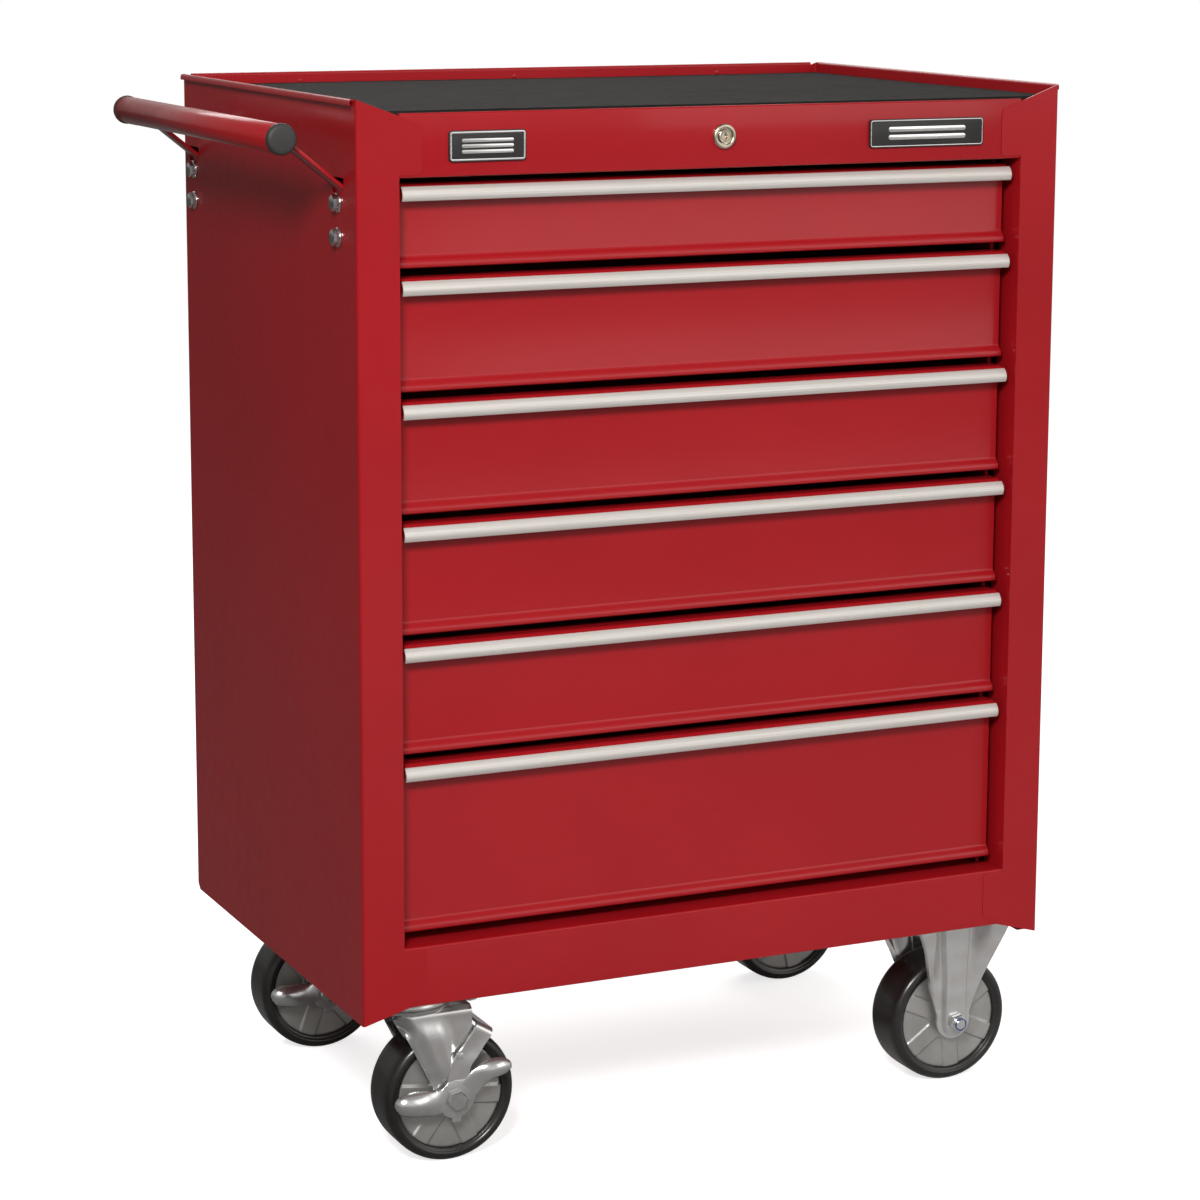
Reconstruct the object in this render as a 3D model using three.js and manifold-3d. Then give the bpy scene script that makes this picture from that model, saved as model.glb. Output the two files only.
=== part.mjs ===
// Six-drawer roller cabinet on four castors, with a side push handle.
// Millimetres. X runs from the handle side to the far side, Y from the drawer fronts to the back, Z up.
import * as THREE from 'three';
import { mergeVertices } from 'three/addons/utils/BufferGeometryUtils.js';
import Module from 'manifold-3d';

const wasm = await Module();
wasm.setup();

// ---------------------------------------------------------------- driving dimensions
const GAP = 0.3;
const SHEET = 1.2;

const CASE = { width: 690, depth: 468, bottom: 154, top: 964 };
const POST = { width: 39, bendRadius: 2.5, lipDepth: 34, rearFlange: 18, footFlange: 15 };
const TAB = { reach: 60, bottom: 899.5, corner: 5 };
const OPENING = { left: POST.width, right: CASE.width - POST.width, bottom: 220.5, top: 897 };
const HEADER = { top: 951.6, bendRadius: 2.5, topFlange: 4.2, lowerRadius: 1.5 };
const SHELF_DEPTH = 14;
const RAIL = { bottom: 166.2, shelfDepth: 34, stepDepth: 62, stepInset: 52 };
const HEM = { width: 5.2, height: 5.5, frontEnd: 6, rearEnd: 464, radius: 2.6, sideGap: 8 };
const WORKTOP = { sheetTop: 946.8, matThickness: 4, flange: 10 };
const PAN = { bottom: 166.6, thickness: 1.6, flange: 12 };
const INSIDE = POST.bendRadius + GAP;

const DRAWER = {
  firstTrimTop: 889,
  pitches: [80.8, 106.7, 106.7, 106.7, 106.7],
  faceY: 21,
  frontDepth: 13,
  rollAboveTrim: 2.7,
  lipAboveTrim: 10.5,
  lipHeight: 11.6,
  lastLip: 230,
  frontLeft: 45.4,
  boxLeft: 60,
  boxBack: 424,
  sheet: 1.0,
};
const TRIM = { left: 44.4, height: 12.35, noseY: 6.2, noseBelowTop: 7.6, wall: 1.2 };
const SLIDE = { height: 45, innerHeight: 34, space: 13, front: 36, length: 390, aboveFloor: 26 };
const UPRIGHT = { width: 44, front: 36, rear: 370, bottom: 179.5, top: 915 };
const LUG = { left: 337, right: 357, reach: 12, drop: 10, belowTop: 8 };

const LOCK = { x: 345, z: 925, bezelRadius: 11, barrelRadius: 9.2, plugRadius: 6.2, crank: 9, pinRadius: 2.5 };
const BAR = { left: 333, right: 368, front: 440, thickness: 2, bottom: 250, top: 934.5 };
const BADGES = [
  { name: 'badge_left', left: 83.6, right: 154.9, bottom: 909.5, top: 936 },
  { name: 'badge_right', left: 491, right: 609, bottom: 910.5, top: 936 },
];

const HANDLE = { x: -58, z: 931, radius: 12.7, wall: 1.5, front: 18, rear: 466, capLength: 6 };
const BRACKET = { width: 25, thickness: 3, stations: [44, 438], legBottom: 836, elbow: 886, boltHeights: [874.5, 845] };
const BOLT = { holeRadius: 4.2, shankRadius: 3.9, flangeRadius: 8.5, acrossFlats: 13 };

const WHEEL = { radius: 62.5, hubRadius: 50, tread: 48, hubWidth: 42, boss: 12, bossWidth: 52, bore: 8.2 };
const FORK = { inner: 27, plate: 3, endRadius: 18, crownTop: 150.7, trail: 34 };
const MOUNT_PLATE = {
  length: 115,
  width: 100,
  thickness: 4,
  top: PAN.bottom - GAP,
  boltInsetX: 12,
  boltInsetY: 10.5,
  boltHead: 7.2,
};
const AXLE = { radius: 5, hole: 5.4, nutFlats: 16, headFlats: 17 };
const AXLE_Z = WHEEL.radius;
const WHEEL_INSET = 66.5;
const SWIVEL_X = 66;
const RIGID_X = 622;
const ROWS = [['front', WHEEL_INSET], ['rear', CASE.depth - WHEEL_INSET]];

// the whole cabinet is centred over the origin, from the handle tube to the far hem and from lock to rear hem
const EXTENT = { left: HANDLE.x - HANDLE.radius - 0.8, right: CASE.width + 4, front: -4, rear: 470.5 };

// ---------------------------------------------------------------- finishes
const finish = (color, roughness, metalness) => new THREE.MeshStandardMaterial({ color, roughness, metalness });
const redPaint = () => finish(0xae2530, 0.38, 0.0);
const aluminium = () => finish(0xbdb4a8, 0.35, 0.9);
const zinc = () => finish(0xb9b8b3, 0.25, 0.95);
const steel = () => finish(0x8b8985, 0.35, 0.9);
const castMetal = () => finish(0x7d7b76, 0.5, 0.6);
const blackRubber = () => finish(0x191715, 0.5, 0.0);
const matRubber = () => finish(0x3a3734, 0.85, 0.0);
const greyPlastic = () => finish(0x4a4643, 0.55, 0.0);
const blackPlastic = () => finish(0x1a191a, 0.35, 0.0);
const nickel = () => finish(0xb5a892, 0.3, 0.95);

// ---------------------------------------------------------------- geometry helpers
function toSolid(geometry) {
  const bare = geometry.clone();
  bare.deleteAttribute('normal');
  bare.deleteAttribute('uv');
  const merged = mergeVertices(bare, 1e-4);
  return new wasm.Manifold(new wasm.Mesh({
    numProp: 3,
    vertProperties: new Float32Array(merged.attributes.position.array),
    triVerts: new Uint32Array(merged.index.array),
  }));
}

function toGeometry(solid) {
  const data = solid.getMesh();
  const geometry = new THREE.BufferGeometry();
  geometry.setAttribute('position', new THREE.BufferAttribute(data.vertProperties, 3));
  geometry.setIndex(new THREE.BufferAttribute(data.triVerts, 1));
  geometry.computeVertexNormals();
  return geometry;
}

const join = (first, ...others) => others.reduce((sum, solid) => sum.add(solid), first);
const cut = (body, ...tools) => tools.reduce((rest, tool) => rest.subtract(tool), body);

function box(x0, x1, y0, y1, z0, z1) {
  const geometry = new THREE.BoxGeometry(x1 - x0, y1 - y0, z1 - z0);
  geometry.translate((x0 + x1) / 2, (y0 + y1) / 2, (z0 + z1) / 2);
  return toSolid(geometry);
}

function extruded(outline, depth) {
  const shape = Array.isArray(outline) ? new THREE.Shape(outline.map(([a, b]) => new THREE.Vector2(a, b))) : outline;
  return new THREE.ExtrudeGeometry(shape, { depth, bevelEnabled: false, curveSegments: 6 });
}

// an outline in X and Y, run up along Z
function prismZ(outline, z0, z1) {
  return toSolid(extruded(outline, z1 - z0).translate(0, 0, z0));
}

// an outline in X and Z, run back along Y
function prismY(outline, y0, y1) {
  return toSolid(extruded(outline, y1 - y0).rotateX(Math.PI / 2).translate(0, y1, 0));
}

// an outline in Y and Z, run across along X
function prismX(outline, x0, x1) {
  const turn = new THREE.Matrix4().set(0, 0, 1, 0, 1, 0, 0, 0, 0, 1, 0, 0, 0, 0, 0, 1);
  return toSolid(extruded(outline, x1 - x0).applyMatrix4(turn).translate(x0, 0, 0));
}

// a rod along Y, which is a cylinder's own axis
function rodY(x, z, radius, y0, y1, sides = 24) {
  const geometry = new THREE.CylinderGeometry(radius, radius, y1 - y0, sides);
  return toSolid(geometry.translate(x, (y0 + y1) / 2, z));
}

function rodZ(x, y, radius, z0, z1, sides = 24) {
  const geometry = new THREE.CylinderGeometry(radius, radius, z1 - z0, sides);
  return toSolid(geometry.rotateX(Math.PI / 2).translate(x, y, (z0 + z1) / 2));
}

function hexY(x, z, acrossFlats, y0, y1) {
  return rodY(x, z, acrossFlats / Math.sqrt(3), y0, y1, 6);
}

// a closed profile of [radius, distance] points turned about an axis parallel to Y
function turnedY(profile, sides) {
  const points = profile.map(([radius, y]) => new THREE.Vector2(radius, y));
  return toSolid(new THREE.LatheGeometry([...points, points[0].clone()], sides));
}

function arc(cx, cy, radius, fromDegrees, toDegrees, steps) {
  return Array.from({ length: steps + 1 }, (_, i) => {
    const angle = THREE.MathUtils.degToRad(fromDegrees + (toDegrees - fromDegrees) * i / steps);
    return [cx + radius * Math.cos(angle), cy + radius * Math.sin(angle)];
  });
}

// a folded sheet seen on edge: the path is one face of it, the other lies a thickness to the path's right
function foldedSheet(path, thickness) {
  const points = path.map(([a, b]) => new THREE.Vector2(a, b));
  const rightOf = (i) => {
    const along = points[i + 1].clone().sub(points[i]).normalize();
    return new THREE.Vector2(along.y, -along.x);
  };
  const far = points.map((point, i) => {
    const before = rightOf(Math.max(i - 1, 0));
    const after = rightOf(Math.min(i, points.length - 2));
    const mitre = before.clone().add(after).normalize();
    return point.clone().add(mitre.multiplyScalar(thickness / mitre.dot(after)));
  });
  return [...points, ...far.reverse()].map((point) => [point.x, point.y]);
}

function roundedRect(left, right, bottom, top, radius) {
  return [
    ...arc(right - radius, bottom + radius, radius, -90, 0, 2),
    ...arc(right - radius, top - radius, radius, 0, 90, 2),
    ...arc(left + radius, top - radius, radius, 90, 180, 2),
    ...arc(left + radius, bottom + radius, radius, 180, 270, 2),
  ];
}

// the same piece on the other side of the cabinet
function mirrored(solid) {
  const geometry = toGeometry(solid);
  geometry.scale(-1, 1, 1).translate(CASE.width, 0, 0);
  const order = geometry.index.array;
  for (let i = 0; i < order.length; i += 3) {
    [order[i + 1], order[i + 2]] = [order[i + 2], order[i + 1]];
  }
  return toSolid(geometry);
}

const cabinet = new THREE.Group();

function add(name, solid, material, parent = cabinet) {
  const mesh = new THREE.Mesh(toGeometry(solid), material);
  mesh.name = name;
  parent.add(mesh);
  return mesh;
}

// ---------------------------------------------------------------- case
// front view of one side panel: the post with the two tabs that lap over the header and the bottom rail
function sidePanelOutline() {
  const topSlope = (CASE.top - HEADER.top) / POST.width;
  const bottomSlope = (RAIL.bottom - CASE.bottom) / (POST.width + 4);
  const slopedTop = (x) => CASE.top - topSlope * x * 1.08;
  const { reach, bottom, corner } = TAB;
  const lowerTabTop = OPENING.bottom - 2;
  return [
    [-1, CASE.bottom - bottomSlope],
    [POST.width + 4, RAIL.bottom],
    ...arc(reach - corner, CASE.bottom + 25, corner, 300, 360, 3),
    ...arc(reach - corner, lowerTabTop - corner, corner, 0, 90, 4),
    [POST.width, lowerTabTop],
    [POST.width, bottom],
    ...arc(reach - corner, bottom + corner, corner, 270, 360, 4),
    ...arc(reach - corner, slopedTop(reach) - corner, corner, 0, 70, 3),
    [-1, CASE.top + topSlope],
  ];
}

function sideHem() {
  const path = [
    [SHEET, CASE.top - HEM.height - 2],
    ...arc(SHEET - HEM.radius, CASE.top - HEM.radius, HEM.radius, 0, 180, 6),
    [SHEET - HEM.width, CASE.top - HEM.height],
  ];
  return prismY(foldedSheet(path.reverse(), SHEET), HEM.frontEnd, HEM.rearEnd);
}

function sidePanel() {
  const depth = CASE.depth;
  const radius = POST.bendRadius;
  const plan = [
    [TAB.reach, 0],
    ...arc(radius, radius, radius, 270, 180, 3),
    ...arc(radius, depth - radius, radius, 180, 90, 3),
    [POST.rearFlange, depth],
  ];
  const folded = prismZ(foldedSheet(plan, SHEET), CASE.bottom, CASE.top);
  const trimmed = folded.intersect(prismY(sidePanelOutline(), -1, depth + 1));
  const foldedAway = box(-1, SHEET + 1, HEM.frontEnd, HEM.rearEnd, CASE.top - HEM.radius, CASE.top + 1);
  const lip = box(POST.width - SHEET, POST.width, 0.5, POST.lipDepth, OPENING.bottom, OPENING.top);
  const foot = box(0.5, POST.footFlange, 10, depth - 12, CASE.bottom, CASE.bottom + SHEET);
  const rearCorner = [[depth - 9, CASE.bottom - 1], [depth + 1, CASE.bottom - 1], [depth + 1, CASE.bottom + 9]];
  const panel = join(cut(trimmed, foldedAway), sideHem(), lip, foot);
  return cut(panel, prismX(rearCorner, -1, POST.rearFlange + 1));
}

function leftSidePanel() {
  const openings = BRACKET.stations.flatMap((y) => [
    box(-1, SHEET + 1, y - BRACKET.width / 2 - 0.8, y + BRACKET.width / 2 + 0.8, 882.5, 896),
    ...BRACKET.boltHeights.map((z) => boltHole(y, z, -1, SHEET + 1)),
  ]);
  return cut(sidePanel(), ...openings);
}

const boltHole = (y, z, x0, x1) => boltRod(y, z, BOLT.holeRadius, x0, x1, 12);

function boltRod(y, z, radius, x0, x1, sides) {
  const geometry = new THREE.CylinderGeometry(radius, radius, x1 - x0, sides);
  return toSolid(geometry.rotateZ(Math.PI / 2).translate((x0 + x1) / 2, y, z));
}

function backPanel() {
  const front = CASE.depth - SHEET - GAP - SHEET;
  const hemPath = [
    [front, CASE.top - HEM.height - 2],
    ...arc(front + HEM.radius, CASE.top - HEM.radius, HEM.radius, 180, 0, 6),
    [front + HEM.width, CASE.top - HEM.height],
  ];
  const left = HEM.sideGap;
  const right = CASE.width - HEM.sideGap;
  const notchBottom = WORKTOP.sheetTop - 2;
  const sheet = box(INSIDE, CASE.width - INSIDE, front, front + SHEET, CASE.bottom + 2, notchBottom);
  const neck = box(left, right, front, front + SHEET, notchBottom - 1, CASE.top - HEM.height - 1);
  const hem = prismX(foldedSheet(hemPath, SHEET), left, right);
  return join(sheet, neck, hem, ...[300, 810].map((z) => barGuide(front, z)));
}

// a bridge that holds the locking bar against the back panel
function barGuide(panelFront, z) {
  const clear = 2;
  const outer = box(BAR.left - clear - 3, BAR.right + clear + 3, BAR.front - 3, panelFront + 0.5, z, z + 18);
  const inner = box(BAR.left - clear, BAR.right + clear, BAR.front - 1, panelFront, z - 1, z + 19);
  return cut(outer, inner);
}

function bottomPan() {
  const left = INSIDE;
  const right = CASE.width - left;
  const front = SHEET + GAP;
  const back = CASE.depth - 2 * (SHEET + GAP);
  const rim = PAN.bottom + PAN.flange;
  const body = box(left, right, front, back, PAN.bottom, rim);
  const wall = PAN.thickness;
  return cut(body, box(left + wall, right - wall, front + wall, back - wall, PAN.bottom + wall, rim + 1));
}

function worktopPan() {
  const left = INSIDE;
  const back = CASE.depth - 2 * (SHEET + GAP);
  const top = WORKTOP.sheetTop;
  const low = top - WORKTOP.flange;
  const body = box(left, CASE.width - left, 3, back, low, top);
  const hollow = box(left + SHEET, CASE.width - left - SHEET, 3 + SHEET, back - SHEET, low - 1, top - SHEET);
  return cut(body, hollow);
}

function worktopMat() {
  const bottom = WORKTOP.sheetTop + GAP;
  return box(4, CASE.width - 4, HEADER.topFlange + GAP, CASE.depth - 6, bottom, bottom + WORKTOP.matThickness);
}

// side view of the header: a shelf over the top drawer, the face, and a flange folded back beside the mat
function headerProfile() {
  const { top, bendRadius, topFlange, lowerRadius } = HEADER;
  const path = [
    [SHELF_DEPTH, OPENING.top],
    ...arc(lowerRadius, OPENING.top + lowerRadius, lowerRadius, 270, 180, 2),
    ...arc(bendRadius, top - bendRadius, bendRadius, 180, 90, 3),
    [topFlange, top],
  ];
  return foldedSheet(path, SHEET);
}

// the header's ends are joggled back by a sheet's thickness, to lie behind the tabs of the side panels
function frontHeader() {
  const seam = TAB.reach + GAP;
  const back = SHEET + GAP;
  const low = OPENING.top + SHEET;
  const high = HEADER.top - SHEET;
  const face = prismX(headerProfile(), seam, CASE.width - seam);
  const ends = [POST.width + GAP, CASE.width - seam - 8].map((x) =>
    box(x, x + TAB.reach - POST.width + 8, back, back + SHEET, OPENING.top, HEADER.top));
  const steps = [seam, CASE.width - seam - 8].map((x) => box(x, x + 8, 0.5, back + 0.5, low, high));
  const lockHole = rodY(LOCK.x, LOCK.z, LOCK.barrelRadius + GAP, -1, 4);
  return cut(join(face, ...ends, ...steps), lockHole);
}

function frontBottomRail() {
  const seam = TAB.reach + GAP;
  const back = SHEET + GAP;
  const top = OPENING.bottom;
  const face = box(seam, CASE.width - seam, 0, SHEET, RAIL.bottom, top);
  const { shelfDepth, stepDepth, stepInset } = RAIL;
  const shelf = box(POST.width + GAP, CASE.width - POST.width - GAP, back, shelfDepth, top - SHEET, top);
  const step = box(stepInset, CASE.width - stepInset, shelfDepth - 1, stepDepth, top - SHEET, top);
  const bridge = box(seam, CASE.width - seam, 0.5, back + 0.5, top - SHEET, top);
  const apron = box(seam, CASE.width - seam, 0.5, back, PAN.bottom + PAN.flange + 2, top);
  return join(face, apron, bridge, shelf, step);
}

add('left_side_panel', leftSidePanel(), redPaint());
add('right_side_panel', mirrored(sidePanel()), redPaint());
add('back_panel', backPanel(), redPaint());
add('bottom_pan', bottomPan(), redPaint());
add('worktop_pan', worktopPan(), redPaint());
add('worktop_mat', worktopMat(), matRubber());
add('front_header', frontHeader(), redPaint());
add('front_bottom_rail', frontBottomRail(), redPaint());

// ---------------------------------------------------------------- drawers
const trimTops = DRAWER.pitches.reduce((tops, pitch) => [...tops, tops.at(-1) - pitch], [DRAWER.firstTrimTop]);

const drawers = trimTops.map((trimTop, i) => {
  const lip = i < trimTops.length - 1 ? trimTops[i + 1] + DRAWER.lipAboveTrim : DRAWER.lastLip;
  const floor = lip + 8;
  return { number: i + 1, trimTop, lip, floor, top: trimTop + DRAWER.rollAboveTrim, slide: floor + SLIDE.aboveFloor };
});

// the pull's convex nose at a height given from its top, or a layer lying a depth behind its surface
function noseY(belowTop, depth = 0) {
  const curve = 0.0762;
  const fromNose = belowTop - TRIM.noseBelowTop;
  return TRIM.noseY + curve * fromNose ** 2 + depth * Math.hypot(1, 2 * curve * fromNose);
}

// side view of the inner skin and the top, which rolls over the front and hooks back under as a finger pull
function pullOutline(drawer) {
  const inner = DRAWER.faceY + DRAWER.frontDepth;
  const behindTrim = TRIM.wall + GAP;
  const roll = [-1.2, 0, 2, 4.8, 7.6, 10, 11.6].map((below) => [noseY(below, behindTrim), drawer.trimTop - below]);
  const path = [
    [inner, drawer.floor],
    [inner, drawer.top],
    [16.6, drawer.top],
    ...roll,
    [11.4, drawer.trimTop - 12.6],
    [14, drawer.trimTop - 11.8],
  ];
  return foldedSheet(path.reverse(), DRAWER.sheet);
}

// side view of the face: a flat sheet whose bottom edge sweeps forward and rolls under
function faceOutline(drawer) {
  const face = DRAWER.faceY;
  const path = [
    [face - 1.6, drawer.lip + 0.2],
    [face - 3.8, drawer.lip],
    [face - 4.7, drawer.lip + 0.9],
    [face - 4.9, drawer.lip + 2.6],
    [face - 4.5, drawer.lip + 4.8],
    [face - 3.2, drawer.lip + 6.8],
    [face - 1.5, drawer.lip + 8.3],
    [face - 0.4, drawer.lip + 9.9],
    [face, drawer.lip + DRAWER.lipHeight],
    [face, drawer.top - 0.5],
  ];
  return foldedSheet(path, DRAWER.sheet);
}

function innerSlide(drawer) {
  const outside = DRAWER.boxLeft;
  const inside = outside - 9;
  const half = SLIDE.innerHeight / 2;
  const path = [[inside, drawer.slide + half], [outside, drawer.slide + half]];
  const channel = [...path, [outside, drawer.slide - half], [inside, drawer.slide - half]];
  return prismY(foldedSheet(channel, SHEET), SLIDE.front, SLIDE.front + SLIDE.length - 2);
}

function lockLug(drawer) {
  const top = drawer.top - LUG.belowTop - 4;
  const back = DRAWER.boxBack;
  const shelf = box(LUG.left, LUG.right, back - 0.5, back + LUG.reach, top - SHEET, top);
  const lip = box(LUG.left, LUG.right, back + LUG.reach - SHEET, back + LUG.reach, top - SHEET - LUG.drop, top);
  return join(shelf, lip);
}

function drawerBox(drawer) {
  const left = DRAWER.boxLeft;
  const right = CASE.width - left;
  const sheet = DRAWER.sheet;
  const front = DRAWER.faceY + DRAWER.frontDepth - sheet;
  const top = drawer.top - LUG.belowTop;
  const outer = box(left, right, front, DRAWER.boxBack, drawer.floor, top);
  const inner = box(left + sheet, right - sheet, front + sheet, DRAWER.boxBack - sheet, drawer.floor + sheet, top + 1);
  const [pull, face] = [pullOutline(drawer), faceOutline(drawer)].map((outline) =>
    prismX(outline, DRAWER.frontLeft, CASE.width - DRAWER.frontLeft));
  const slide = innerSlide(drawer);
  return join(cut(outer, inner), pull, face, slide, mirrored(slide), lockLug(drawer));
}

// side view of the aluminium trim: a convex skin clipped over the front of the rolled pull
function trimOutline(drawer) {
  const path = [TRIM.height, 10, TRIM.noseBelowTop, 4.8, 2, 0].map((below) => [noseY(below), drawer.trimTop - below]);
  return foldedSheet(path, TRIM.wall);
}

for (const drawer of drawers) {
  add(`drawer_${drawer.number}_box`, drawerBox(drawer), redPaint());
  const trim = prismX(trimOutline(drawer), TRIM.left, CASE.width - TRIM.left);
  add(`drawer_${drawer.number}_trim`, trim, aluminium());
}

// ---------------------------------------------------------------- slide racks
function outerSlide(drawer) {
  const web = DRAWER.boxLeft - SLIDE.space;
  const half = SLIDE.height / 2;
  const path = [[web + 10, drawer.slide - half], [web, drawer.slide - half]];
  const channel = [...path, [web, drawer.slide + half], [web + 10, drawer.slide + half]];
  return prismY(foldedSheet(channel, SHEET), SLIDE.front, SLIDE.front + SLIDE.length);
}

// a post of folded sheet: a foot on the side panel, a web across the cavity and a face that carries the slides
function upright(webY, faceFrom, faceTo, footTo) {
  const inside = DRAWER.boxLeft - SLIDE.space + 0.4;
  const wall = SHEET + GAP;
  const { bottom, top } = UPRIGHT;
  const face = box(inside - SHEET, inside, faceFrom, faceTo, bottom, top);
  const web = box(wall, inside, webY, webY + SHEET, bottom, top);
  const foot = box(wall, wall + SHEET, Math.min(webY, footTo), Math.max(webY + SHEET, footTo), bottom, top);
  return join(face, web, foot);
}

function slideRack() {
  const frontWeb = UPRIGHT.front + UPRIGHT.width;
  const front = upright(frontWeb, UPRIGHT.front, frontWeb + SHEET, frontWeb + 20);
  const rear = upright(UPRIGHT.rear, UPRIGHT.rear, UPRIGHT.rear + UPRIGHT.width, UPRIGHT.rear - 20);
  const flangeFront = UPRIGHT.front - 1.4;
  const flange = box(45, 49, flangeFront, flangeFront + SHEET, UPRIGHT.bottom, UPRIGHT.top);
  const bridge = box(46, 47.4, flangeFront, UPRIGHT.front + 1, UPRIGHT.bottom, UPRIGHT.top);
  return join(front, rear, flange, bridge, ...drawers.map(outerSlide));
}

add('left_slide_rack', slideRack(), steel());
add('right_slide_rack', mirrored(slideRack()), steel());

// ---------------------------------------------------------------- lock
function lockHousing() {
  const { x, z, bezelRadius, barrelRadius, plugRadius } = LOCK;
  const bezel = turnedY([[plugRadius + GAP, -3.2], [bezelRadius - 1.2, -3.6], [bezelRadius, -2.4],
    [bezelRadius, -GAP], [barrelRadius, -GAP], [barrelRadius, 24], [plugRadius + GAP, 24]], 20);
  return bezel.translate([x, 0, z]);
}

function lockPlug() {
  const { x, z, plugRadius, crank, pinRadius } = LOCK;
  const plug = rodY(x, z, plugRadius, -3.9, 26, 20);
  const keyhole = prismY([[x - 1.6, z], [x, z - 3.2], [x + 1.6, z], [x, z + 3.2]], -5, 4);
  const rod = rodY(x, z, 4, 25, 430, 10);
  const arm = box(x - 5, x + crank + 4, 430 - SHEET, 433, z - 5, z + 5);
  const pin = rodY(x + crank, z, pinRadius, 432, BAR.front + BAR.thickness + 3, 12);
  return join(cut(plug, keyhole), rod, arm, pin);
}

// one upturned hook for each drawer: it stands below the drawer's lug and rises behind it when the bar lifts
function barHook(drawer) {
  const lugBottom = drawer.top - LUG.belowTop - 4 - SHEET - LUG.drop;
  const armTop = lugBottom - LOCK.crank - 1.5;
  const toothTop = lugBottom - 2.5;
  const left = (LUG.left + LUG.right) / 2 - 7;
  const arm = box(left, left + 14, 428, BAR.front + 0.5, armTop - 3, armTop);
  const tooth = box(left, left + 14, 428, 431, armTop - 3, toothTop);
  return join(arm, tooth);
}

function lockingBar() {
  const { left, right, front, thickness, bottom, top } = BAR;
  const strap = box(left, right, front, front + thickness, bottom, top);
  const reach = LOCK.pinRadius + 0.8;
  const slot = box(LOCK.x - reach, LOCK.x + LOCK.crank + reach, front - 1, front + thickness + 1,
    LOCK.z - reach, LOCK.z + reach + 1.8);
  return cut(join(strap, ...drawers.map(barHook)), slot);
}

add('lock_housing', lockHousing(), nickel());
add('lock_plug', lockPlug(), nickel());
add('locking_bar', lockingBar(), steel());

// ---------------------------------------------------------------- badges
function badge({ left, right, bottom, top }) {
  const border = 2;
  const plate = prismY(roundedRect(left, right, bottom, top, 3), -2.2, -GAP);
  const field = roundedRect(left + border, right - border, bottom + border, top - border, 2);
  return cut(plate, prismY(field, -3, -1.5));
}

for (const plate of BADGES) {
  add(plate.name, badge(plate), blackPlastic());
}

// ---------------------------------------------------------------- push handle
const handleTubeFront = HANDLE.front + HANDLE.capLength;
const handleTubeRear = HANDLE.rear - HANDLE.capLength;

function handleTube() {
  const inner = HANDLE.radius - HANDLE.wall;
  const profile = [[inner, handleTubeFront], [HANDLE.radius, handleTubeFront],
    [HANDLE.radius, handleTubeRear], [inner, handleTubeRear]];
  return turnedY(profile, 28).translate([HANDLE.x, 0, HANDLE.z]);
}

// a capped plug: a domed flange outside the tube and a spigot inside it
function handleCap(end, outward) {
  const outer = HANDLE.radius + 0.8;
  const spigot = HANDLE.radius - HANDLE.wall - GAP;
  const at = (distance) => end + outward * distance;
  const profile = [[0, at(-12)], [spigot, at(-12)], [spigot, at(GAP)], [outer, at(GAP)],
    [outer, at(HANDLE.capLength - 2.5)], [outer - 2.5, at(HANDLE.capLength)], [0, at(HANDLE.capLength)]];
  const points = profile.map(([radius, y]) => new THREE.Vector2(radius, y));
  const ordered = outward > 0 ? points : points.reverse();
  return toSolid(new THREE.LatheGeometry(ordered, 20)).translate([HANDLE.x, 0, HANDLE.z]);
}

// a bent flat bar: bolted inside the side panel, it passes out through the slot and up to the underside of the tube
function handleBracket(station) {
  const back = SHEET + GAP;
  const path = [
    [back, BRACKET.legBottom],
    [back, BRACKET.elbow],
    [HANDLE.x + 10, HANDLE.z - 6],
  ];
  const side = BRACKET.width / 2;
  const bar = prismY(foldedSheet(path, BRACKET.thickness), station - side, station + side);
  const seat = rodY(HANDLE.x, HANDLE.z, HANDLE.radius + GAP + 0.2, station - side - 1, station + side + 1, 28);
  const holes = BRACKET.boltHeights.map((z) => boltHole(station, z, 0, 8));
  return cut(bar, seat, ...holes);
}

// two flanged hex bolts that screw into one nut strip inside the side panel
function handleBolts(station) {
  const stripFront = SHEET + GAP + BRACKET.thickness + GAP;
  const strip = box(stripFront, stripFront + 5, station - 10, station + 10, BRACKET.legBottom + 1, BRACKET.elbow - 3);
  const bolts = BRACKET.boltHeights.map((z) => {
    const flange = boltRod(station, z, BOLT.flangeRadius, -1.8, -GAP, 16);
    const head = boltRod(station, z, BOLT.acrossFlats / Math.sqrt(3), -6.5, -1, 6);
    const shank = boltRod(station, z, BOLT.shankRadius, -1, stripFront + 1, 10);
    return join(flange, head, shank);
  });
  return join(strip, ...bolts);
}

add('handle_tube', handleTube(), redPaint());
add('handle_cap_front', handleCap(handleTubeFront, -1), greyPlastic());
add('handle_cap_rear', handleCap(handleTubeRear, 1), greyPlastic());
BRACKET.stations.forEach((station, i) => {
  const row = ROWS[i][0];
  add(`handle_bracket_${row}`, handleBracket(station), redPaint());
  add(`handle_bolts_${row}`, handleBolts(station), steel());
});

// ---------------------------------------------------------------- castors
// one of the six shallow rounded triangles pressed into each face of a hub, pointing at the axle
function hubLobe(angle) {
  const tip = arc(17, 0, 3.5, 130, 230, 2);
  const outerEdge = arc(0, 0, 46, -21, 21, 2);
  const turn = THREE.MathUtils.degToRad(angle);
  return [...tip, ...outerEdge].map(([x, z]) =>
    [x * Math.cos(turn) - z * Math.sin(turn), x * Math.sin(turn) + z * Math.cos(turn)]);
}

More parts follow.
